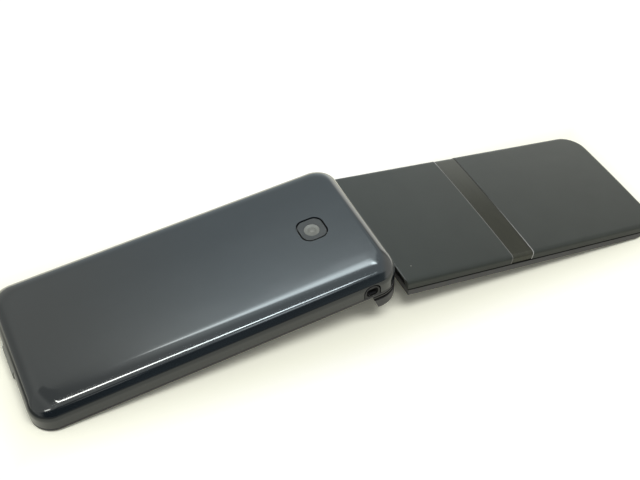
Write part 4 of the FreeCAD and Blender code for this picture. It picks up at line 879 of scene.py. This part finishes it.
class PHONE_OT_seams(bpy.types.Operator):
    """Painted shade of the joints: dark strips, two round each knuckle, the edge of the strap eye and the seam
    of the lid, that stand for the shade in their grooves
    """

    bl_idname = "phone.seams"
    bl_label = "Seams"

    def execute(self, context):
        size = sizes()
        # Start along the base, then lower and upper edge from the keypad face
        self.knuckle(size, "knuckle_seam_shade_upper", 103.1 * MM, -0.15 * MM, 0.35 * MM)
        self.knuckle(size, "knuckle_seam_shade_lower", 103.35 * MM, -1.25 * MM, -0.6 * MM)
        self.strap_edge_shade(size)
        self.lid_seam(size)
        return {"FINISHED"}

    def knuckle(self, size, name, start, low, high):
        """Thin dark strip round both knuckles, from their slanted face to the hinge end: painted shade of the
        groove there.
        """
        strip = self.outline(size, name, start, low, high, size.shade_strip_proud)
        carve(strip, self.outline(size, "core", start - MM, low - MM, high + MM, -size.shade_strip_deep))
        gap = size.barrel_half
        carve(strip, block("gap", (start - MM, -gap, low - MM), (size.base_length + MM, gap, high + MM)))
        smooth(strip, 35)
        settle(strip, "base", "base", "shadow", "black_part")

    def outline(self, size, name, start, low, high, grow):
        """Hinge end of the base seen from above, grown on all sides."""
        half = size.base_width / 2 + grow
        return rounded_block(name, (start, -half, low), (size.base_length + grow, half, high),
                             size.base_corner + grow, 16, lambda edge: edge.verts[0].co.x > start + 4 * MM)

    def strap_edge_shade(self, size):
        """Dark chamfer round the hole of the strap eye: a flat ring of painted shade that widens the dark of
        the hole.
        """
        foot = size.cover_rim + size.strap_foot
        face = -size.base_width / 2 + size.strap_gap / 3 - size.shade_strip_proud
        ring = self.strap_hole(size, "strap_edge_shade", foot, size.strap_chamfer, face, 0.25 * MM)
        carve(ring, self.strap_hole(size, "hole", foot, -0.02 * MM, face - MM, 3 * MM))
        smooth(ring, 40)
        settle(ring, "base", "base", "shadow", "black_part")

    def strap_hole(self, size, name, foot, grow, face, depth):
        reach = size.strap_hole_width / 2 + grow
        low = (size.strap_middle - reach, face, foot - grow)
        hole = block(name, low, (size.strap_middle + reach, face + depth, foot + size.strap_hole_height + grow))
        round_corners(hole, size.strap_hole_height / 3 + grow, 8, axis=1)
        return hole

    def lid_seam(self, size):
        """Dark line between the two cases of the lid: painted shade of the seam groove."""
        line = lid_slab("lid_seam_shade_line", size.lid_seam - 0.1 * MM, -size.shade_strip_proud)
        top = size.lid_seam + size.lid_seam_shade_line
        carve(line, block("above", (0, -40 * MM, top), (0.2, 40 * MM, 20 * MM)))
        carve(line, lid_slab("core", size.lid_seam - MM, size.shade_strip_deep))
        smooth(line, 35)
        settle(line, "lid", "lid", "shadow", "black_part")


class PHONE_OT_lid_outer(bpy.types.Operator):
    """Outer shell of the lid with its crowned face and the bed of the window band, its trim and status light"""

    bl_idname = "phone.lid_outer"
    bl_label = "Lid outer case"

    def execute(self, context):
        size = sizes()
        shell = lid_slab("lid_shell", size.lid_seam, 0)
        half = size.lid_width / 2
        bed = block("bed", (size.band_start, -half - MM, 0),
                    (size.band_start + size.band_length, half + MM, size.lid_outside + 2 * MM))
        carve(bed, lid_slab("bed_core", -MM, size.lid_bed))
        carve(shell, bed)
        recess = block("recess", (-MM, size.lid_cheek - half, size.lid_seam - size.lid_outside - MM),
                       (size.lid_recess, half - size.lid_cheek, -size.lid_rim))
        turn_to_lid_end(recess)
        carve(shell, recess)
        smooth(shell, 30, 0.1 * MM)
        settle(shell, "lid", "lid", "lid", "lid_satin", "lid_outer_case")
        self.trim(size, half)
        self.status_light(size, half)
        return {"FINISHED"}

    def status_light(self, size, half):
        """Tiny lamp in the outer face, near the hinge."""
        x, y = size.light_along, -size.light_aside
        rise = size.lid_outside + size.lid_crown * (1 - (y / half) ** 2)
        lamp = disc("status_light", (x, y, rise - 0.5 * MM), size.light_radius, 0.53 * MM, 24)
        smooth(lamp, 40)
        settle(lamp, "lid", "lid", "film", "lid_satin")

    def trim(self, size, half):
        """Fine rounded trim along the hinge end of the outer face."""
        reach = half - size.lid_cheek * 0.6
        rise = size.lid_crown - 0.02 * MM
        trim = block("lid_trim", (-size.lid_trim_reach, -reach, -0.35 * MM),
                     (size.lid_trim - size.lid_trim_reach, reach, rise))
        with editing(trim):
            pick("EDGE", lambda edge: is_upright(edge, 1) and edge.verts[0].co.z > 0)
            bpy.ops.mesh.bevel(offset=0.16 * MM, segments=4, affect="EDGES")
        turn_to_lid_end(trim)
        smooth(trim, 50)
        settle(trim, "lid", "lid", "trim", "lid_satin")


class PHONE_OT_window_band(bpy.types.Operator):
    """Smoked window that wraps over the lid from side to side, with bright edges whose brightness is painted
    highlight
    """

    bl_idname = "phone.window_band"
    bl_label = "Outside window"

    def execute(self, context):
        size = sizes()
        start, end = size.band_start, size.band_start + size.band_length
        gap = 0.02 * MM
        inset = size.band_edge + 2 * gap
        band = lid_stretch("window_band", start + inset, end - inset, size.band_sunk)
        smooth(band, 30, 0.06 * MM)
        settle(band, "lid", "lid", "band", "band_window", "outside_window")
        for name, place in (("band_edge_hinge", start + gap), ("band_edge_tip", end - size.band_edge - gap)):
            line = lid_stretch(name, place, place + size.band_edge, size.band_sunk / 4)
            smooth(line, 30)
            settle(line, "lid", "lid", name, "band_window")
        return {"FINISHED"}


def lid_slab(name, foot, inset):
    """The lid's outer form above a foot, drawn in by inset.

    It has round corners at the tip, soft shoulders, a crown and the slanted hinge end.
    """
    size = sizes()
    half = size.lid_width / 2 - inset
    shoulder = size.lid_outside - inset
    steps = roll_steps(size.lid_shoulder - inset, size.lid_shoulder_fall - inset, 2.2, 8)
    rise = sum(step[1] for step in steps)
    low = (size.lid_end_outer / 2, -half, foot)
    high = (size.lid_reach - inset, half, shoulder - rise)
    slab = rounded_block(name, low, high, size.lid_tip_corner - inset, 16,
                         lambda edge: edge.verts[0].co.x > size.lid_reach / 2)
    roll(slab, steps)
    with editing(slab):
        pick("VERT", lambda vert: vert.co.x < size.lid_end_outer)
        bpy.ops.transform.resize(value=(0, 1, 1), center_override=(low[0], 0, 0))
    slice_across(slab, half, 12, 11)
    bow(slab, (0, -half, foot), (size.lid_reach, half, shoulder), size.lid_crown, 2)
    cutter = block("slant", (-30 * MM, -40 * MM, -20 * MM), (0, 40 * MM, 20 * MM))
    turn_to_lid_end(cutter)
    carve(slab, cutter)
    return slab


def turn_to_lid_end(cutter):
    """Turns what was made at the origin to the lid's slanted hinge end.

    x goes into the lid, and z up to the outer face.
    """
    size = sizes()
    run = size.lid_end_inner - size.lid_end_outer
    fall = size.lid_inside + size.lid_outside
    cutter.matrix_world = (Matrix.Translation((size.lid_end_outer, 0, size.lid_outside))
                           @ Matrix.Rotation(-math.atan2(run, fall), 4, "Y"))
    apply_place(cutter)


def lid_stretch(name, start, end, inset):
    """The lid's outer form, drawn in by inset, between two places along the lid."""
    size = sizes()
    half = size.lid_width / 2
    stretch = lid_slab(name, size.lid_seam, inset)
    carve(stretch, block("keep", (start, -half - MM, 0), (end, half + MM, size.lid_outside * 2)), "INTERSECT")
    return stretch


NUMBER_KEYS = dict(zip("star zero hash seven eight nine four five six one two three".split(), "*0#789456123"))


class PHONE_OT_keys(bpy.types.Operator):
    """Key caps with soft edges and a faint crown, and the print on them"""

    bl_idname = "phone.keys"
    bl_label = "Keys"

    def execute(self, context):
        size = sizes()
        self.caps(size, *[f"key_{word}" for word in NUMBER_KEYS], "key_call", "key_clear", "key_end")
        self.caps(size, "key_mail", "key_menu", "key_web", "key_book")
        for word, digit in NUMBER_KEYS.items():
            self.print_on(f"key_{word}", digit_print(digit))
        self.print_on("key_call", handset(math.radians(-35)), "call")
        self.print_on("key_end", handset(math.radians(180)), "end")
        for name, draw in (("key_clear", back_arrow), ("key_mail", envelope), ("key_menu", list_mark),
                           ("key_web", globe), ("key_book", open_book)):
            self.print_on(name, draw())
        self.ring(size)
        self.centre(size)
        return {"FINISHED"}

    def caps(self, size, *names):
        """Keys of one form, each a copy of the cap that is made for the first of them."""
        pattern = self.cap(size, names[0])
        start = node_box(names[0], "keypad")[0]
        for name in names:
            key = copy_of(pattern, name.replace("key_", "cap_"), node_box(name, "keypad")[0] - start)
            settle(key, "keypad", name, "key", "key_cap", name)
        bpy.data.objects.remove(pattern)

    def cap(self, size, name):
        """One key with its lip: upright sides, a rolled edge and a top that rises a little to its middle."""
        low, high = node_box(name, "keypad")
        foot = low.z + size.key_lip_thickness
        grow = Vector((size.key_lip, size.key_lip, 0))
        cap = rounded_block("cap", low + grow, (high.x - grow.x, high.y - grow.y, high.z - size.key_round),
                            size.key_corner, 8)
        roll(cap, roll_steps(size.key_round * 1.3, size.key_round * 0.8, 2.0, 6))
        roll(cap, [(0.8 * MM, size.key_round * 0.12), (0.8 * MM, size.key_round * 0.08)])
        lip = rounded_block("lip", low, (high.x, high.y, foot), size.key_corner + size.key_lip, 6)
        key = join("key", lip, cap)
        smooth(key, 40)
        return key

    def print_on(self, name, mark, finish="legend"):
        """Sets a mark, made round the origin, on the middle of a key's top."""
        low, high = node_box(name, "keypad")
        mark.location = ((low.x + high.x) / 2, (low.y + high.y) / 2, high.z)
        mark.name = name.replace("key_", "print_")
        mark.data.name = mark.name
        apply_place(mark)
        settle(mark, "keypad", name, finish, "key_cap")

    def ring(self, size):
        """Ring key, dished towards its hole, with four small arrows."""
        low, high = node_box("key_ring", "keypad")
        middle = (low + high) / 2
        radius = (high.x - low.x) / 2 - size.key_lip
        ring = disc("cap_ring", (middle.x, middle.y, low.z), radius, high.z - size.key_round - low.z, 128)
        roll(ring, roll_steps(size.key_round * 1.4, size.key_round, 2.0, 6))
        roll(ring, [(1.0 * MM, 0), (2.2 * MM, -0.10 * MM), (1.6 * MM, -0.08 * MM)])
        lip = disc("lip", (middle.x, middle.y, low.z), radius + size.key_lip, size.key_lip_thickness, 96)
        for part, play in ((ring, 0), (lip, 0.05 * MM)):
            carve(part, disc("hole", (middle.x, middle.y, low.z - MM), size.ring_hole + play, 4 * MM, 96))
        ring = join("cap_ring", lip, ring)
        smooth(ring, 40, 0.05 * MM)
        settle(ring, "keypad", "key_ring", "ring", "key_ring", "key_ring")
        for n in range(4):
            mark = triangle(0.75 * MM)
            mark.matrix_world = (Matrix.Rotation(n * math.pi / 2, 4, "Z")
                                 @ Matrix.Translation((0, size.arrow_radius, 0)))
            mark.location += Vector((middle.x, middle.y, high.z - 0.015 * MM))
            mark.name = f"arrow_{n + 1}"
            mark.data.name = mark.name
            apply_place(mark)
            settle(mark, "keypad", "key_ring", "legend", "key_ring")

    def centre(self, size):
        """Centre key, with a fine groove round its top."""
        low, high = node_box("key_centre", "keypad")
        middle = (low + high) / 2
        height = high.z - size.key_round - low.z
        centre = disc("cap_centre", (middle.x, middle.y, low.z), (high.x - low.x) / 2, height, 96)
        roll(centre, roll_steps(size.key_round * 1.3, size.key_round, 2.0, 6))
        roll(centre, [(0.5 * MM, 0), (0.12 * MM, -0.06 * MM), (0.12 * MM, 0), (0.12 * MM, 0.06 * MM),
                      (1.6 * MM, -0.05 * MM)])
        smooth(centre, 40)
        settle(centre, "keypad", "key_centre", "key", "key_ring", "key_centre")


# Print on the keys, each mark made flat round the origin


def digit_print(digit):
    size = sizes()
    bpy.ops.object.text_add()
    text = bpy.context.object
    text.data.body = digit
    text.data.size = size.digit_size * (1.5 if digit == "*" else 1)
    text.data.extrude = size.print_height
    text.data.align_x = text.data.align_y = "CENTER"
    choose(text)
    bpy.ops.object.convert(target="MESH")
    mark = bpy.context.object
    low, high = extent(vert.co for vert in mark.data.vertices)
    mark.location = (-(low.x + high.x) / 2, -(low.y + high.y) / 2, 0)
    apply_place(mark)
    return mark


def bar(width, height, x=0.0, y=0.0, turn=0.0, radius=0.0):
    """Flat bar of print round a point, in mm."""
    thick = sizes().print_height
    piece = block("bar", (-width / 2 * MM, -height / 2 * MM, -thick), (width / 2 * MM, height / 2 * MM, thick))
    if radius:
        round_corners(piece, radius * MM, 4)
    piece.rotation_euler.z = turn
    piece.location = (x * MM, y * MM, 0)
    apply_place(piece)
    return piece


def hoop(radius, line, squeeze=1.0):
    """Flat ring of print, in mm."""
    thick = sizes().print_height
    ring = disc("hoop", (0, 0, -thick), radius * MM, 2 * thick, 48)
    carve(ring, disc("core", (0, 0, -MM), (radius - line) * MM, 2 * MM, 48))
    ring.scale = (squeeze, 1, 1)
    apply_place(ring)
    return ring


def triangle(radius):
    thick = sizes().print_height
    bpy.ops.mesh.primitive_cylinder_add(vertices=3, radius=radius, depth=2 * thick)
    piece = name_new("triangle")
    piece.scale = (1.15, 0.8, 1)
    apply_place(piece)
    return piece


def frame_print(width, height, line, radius):
    frame = bar(width, height, radius=radius)
    carve(frame, bar(width - 2 * line, height - 2 * line))
    return frame


def handset(turn):
    """Handset: a bow with a lobe at each end."""
    bow_part = hoop(2.5, 0.75)
    carve(bow_part, bar(8, 4, y=-1.7))
    mark = join("handset", bow_part, bar(1.5, 1.1, -1.75, 0.05, math.radians(12), 0.3),
                bar(1.5, 1.1, 1.75, 0.05, math.radians(-12), 0.3))
    mark.rotation_euler.z = turn
    mark.location = (0, 0.35 * MM if turn > 1 else -0.4 * MM, 0)
    apply_place(mark)
    return mark


def back_arrow():
    head = triangle(1.2 * MM)
    head.rotation_euler.z = math.pi / 2
    head.location.x = -1.5 * MM
    apply_place(head)
    return join("arrow", head, bar(2.8, 0.5, 0.4, 0))


def envelope():
    slope = math.atan2(1.1, 2.0)
    return join("envelope", frame_print(4.4, 3.0, 0.3, 0.3), bar(2.3, 0.3, -0.98, 0.62, -slope),
                bar(2.3, 0.3, 0.98, 0.62, slope))


def list_mark():
    return join("list", *[bar(3.4, 0.42, 0, step, radius=0.15) for step in (-1.2, 0, 1.2)])


def globe():
    return join("globe", hoop(1.9, 0.28), hoop(1.9, 0.28, 0.5), bar(3.6, 0.26), bar(0.26, 3.6))


def open_book():
    slope = math.radians(8)
    left = frame_print(2.2, 3.0, 0.28, 0.2)
    right = frame_print(2.2, 3.0, 0.28, 0.2)
    for page, side in ((left, -1), (right, 1)):
        page.rotation_euler.z = side * slope
        page.location.x = side * 1.1 * MM
        apply_place(page)
    return join("book", left, right)


class PHONE_OT_stage(bpy.types.Operator):
    """Pale table, soft studio light and the camera at the photograph's angle"""

    bl_idname = "phone.stage"
    bl_label = "Stage"

    def execute(self, context):
        scene = context.scene
        scene.view_settings.view_transform = "Standard"
        self.table()
        self.world(scene)
        self.light(scene.phone_stage)
        self.camera(scene)
        return {"FINISHED"}

    def table(self):
        bpy.ops.mesh.primitive_plane_add(size=6, location=(0, 0, 0))
        floor = name_new("table")
        floor.data.materials.append(floor_finish(colours().floor))

    def world(self, scene):
        """Even light for matt surfaces, while gloss sees the studio round the phone."""
        world = bpy.data.worlds.new("studio")
        scene.world = world
        world.use_nodes = True
        net = Net(world.node_tree)
        path = net.tree.nodes.new("ShaderNodeLightPath")
        plain_light = net.tree.nodes["Background"]
        net.put(plain_light.inputs["Color"], (1, 1, 1))
        net.put(plain_light.inputs["Strength"], scene.phone_stage.world)
        white = net.node("ShaderNodeBackground", {}, {"Color": (1, 1, 1), "Strength": 1.0})
        level, tint = self.studio_seen(net)
        studio = net.node("ShaderNodeBackground", {}, {"Color": tint, "Strength": level})
        glossy = net.mix_shaders(path.outputs["Is Glossy Ray"], plain_light.outputs[0], studio)
        seen = net.math("MAXIMUM", path.outputs["Is Camera Ray"], path.outputs["Is Transmission Ray"])
        net.put(net.tree.nodes["World Output"].inputs["Surface"], net.mix_shaders(seen, glossy, white))

    def studio_seen(self, net):
        """Pale room with a window on the far side, tube lights overhead and a dark near side.

        over is the angle from overhead towards the near side, and along the angle towards the lid, in degrees.
        """
        x, y, z = net.axes(net.node("ShaderNodeTexCoord", output=0))
        degree = 180 / math.pi
        over = (0 - y).math("ARCTAN2", z) * degree
        along = x.math("ARCSINE") * degree
        # The room, its shade beside the window, and the dark near side
        room = 0.80 + along.above(2, 12) * 0.08 - along.below(-36, 10) * 0.16
        shade = over.above(-35.3, 0.6) * over.below(8, 12) * along.within(-15.5, 10.5, 5)
        near = over.above(38.5 - along.above(9, 2) * 6, 4.5) * over.below(100, 6) * along.below(36, 10)
        dark = along.below(-58, 12) * 0.5 + along.above(0, 6) * 0.08 + along.above(14, 5) * 0.1 + 0.05
        level = (room - shade * 0.36) * (1 - near) + near * dark
        # The window, which narrows to a tip towards the lid, and its glow
        window = over.above((along - 11.3).most(0) * 3.9 - 33.2, 1.5) * along.above(-2.5, 1.2)
        window = window * over.below(along * 0.9 - 28.8, ((along + 2) * 0.32).most(0.3) + 1.2)
        tip = over.within(along * 1.5 - 39.5, (18.5 - along) * 0.8, 1.5) * along.within(14.5, 2.5, 1)
        halo = over.above(-37.5, 4) * over.below(-14, 12) * along.within(4, 7.5, 5)
        # The long tube light, bent at its end, and three short ones on the near side
        bend = (along + 8).least(0) * 1.9
        tube = over.within(along * 0.35 + bend + 19.8, 1.75, 0.5) * along.within(-1.9, 11.6, 0.9)
        first = over.within(31, 3, 1) * along.within(-37, 8, 2)
        second = over.within(33.5, 2.6, 1.2) * along.within(5.9, 3.2, 1.2)
        third = over.within(46, 1.8, 1.2) * along.within(-4, 1.8, 1)
        # The far corners and the low rim behind the phone
        corner = along.above(32, 6)
        rim = over.below(-86, 9) * abs(along).above(36, 8)
        level = level * (1 - corner * over.below(-30, 8) * 0.36) + over.below(-49, 5) * corner * 1.1
        level = level * (1 - over.below(-50, 10) * along.below(22, 8) * 0.2)
        level = level + rim * (along.above(0, 5) * 0.2 + 0.3) + window * 5.2 + tip * 7 + halo * 0.7
        level = level + tube * (22 - along * 0.9) + first * 8 + second * 2.2 + third * 1.1
        cool = net.mix(along.above(-1, 7), (0.98, 1.01, 0.94), (0.88, 1.01, 1.05))
        return level, net.mix(along.above(34, 14), cool, (1.02, 1.02, 0.94))

    def light(self, stage):
        """Row of tube lights overhead, a little to the near side, as one soft lamp."""
        place = Vector((-0.10, -0.38, 0.95))
        bpy.ops.object.light_add(type="AREA", location=place)
        lamp = bpy.context.object
        lamp.name = "tubes"
        lamp.rotation_euler = (-place).to_track_quat("-Z", "Y").to_euler()
        lamp.data.energy = stage.lamp
        lamp.data.shape = "RECTANGLE"
        lamp.data.size, lamp.data.size_y = 0.60, 0.26
        lamp.visible_glossy = False

    def camera(self, scene):
        stage = scene.phone_stage
        turn, height = stage.azimuth, stage.elevation
        back = Vector((math.sin(turn) * math.cos(height), -math.cos(turn) * math.cos(height), math.sin(height)))
        right = (-back).cross(Vector((0, 0, 1))).normalized()
        up = right.cross(-back)
        roll_turn = Matrix.Rotation(stage.roll, 3, back)
        right, up = roll_turn @ right, roll_turn @ up
        place = Vector((stage.look_x, stage.look_y, 0)) + back * stage.distance
        view = Matrix((right, up, back)).transposed().to_4x4()
        bpy.ops.object.camera_add()
        camera = bpy.context.object
        camera.name = "camera"
        camera.matrix_world = half_place("base") @ Matrix.Translation(place) @ view
        camera.data.lens = stage.lens
        camera.data.sensor_width = 36
        camera.data.clip_start, camera.data.clip_end = 0.01, 20
        scene.camera = camera


OPERATORS = (
    PHONE_OT_inner_parts,
    PHONE_OT_back_cover,
    PHONE_OT_camera,
    PHONE_OT_lid_outer,
    PHONE_OT_window_band,
    PHONE_OT_seams,
    PHONE_OT_keys,
    PHONE_OT_stage,
)


class PHONE_PT_build(bpy.types.Panel):
    """Sizes, colours and the steps that build the phone"""

    bl_idname = "PHONE_PT_build"
    bl_label = "Flip phone"
    bl_space_type = "VIEW_3D"
    bl_region_type = "UI"
    bl_category = "Phone"

    def draw(self, context):
        layout = self.layout
        for operator in OPERATORS:
            layout.operator(operator.bl_idname)
        for group in (context.scene.phone_colours, context.scene.phone_sizes, context.scene.phone_stage):
            box = layout.box()
            for name in group.__annotations__:
                box.prop(group, name)


CLASSES = (PhoneSizes, PhoneColours, PhoneStage, *OPERATORS, PHONE_PT_build)


def register():
    for made in CLASSES:
        bpy.utils.register_class(made)
    bpy.types.Scene.phone_sizes = PointerProperty(type=PhoneSizes)
    bpy.types.Scene.phone_colours = PointerProperty(type=PhoneColours)
    bpy.types.Scene.phone_stage = PointerProperty(type=PhoneStage)


def unregister():
    del bpy.types.Scene.phone_sizes
    del bpy.types.Scene.phone_colours
    del bpy.types.Scene.phone_stage
    for made in reversed(CLASSES):
        bpy.utils.unregister_class(made)


def main():
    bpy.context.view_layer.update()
    register()
    for operator in OPERATORS:
        group, action = operator.bl_idname.split(".")
        getattr(getattr(bpy.ops, group), action)()


if __name__ == "__main__":
    main()
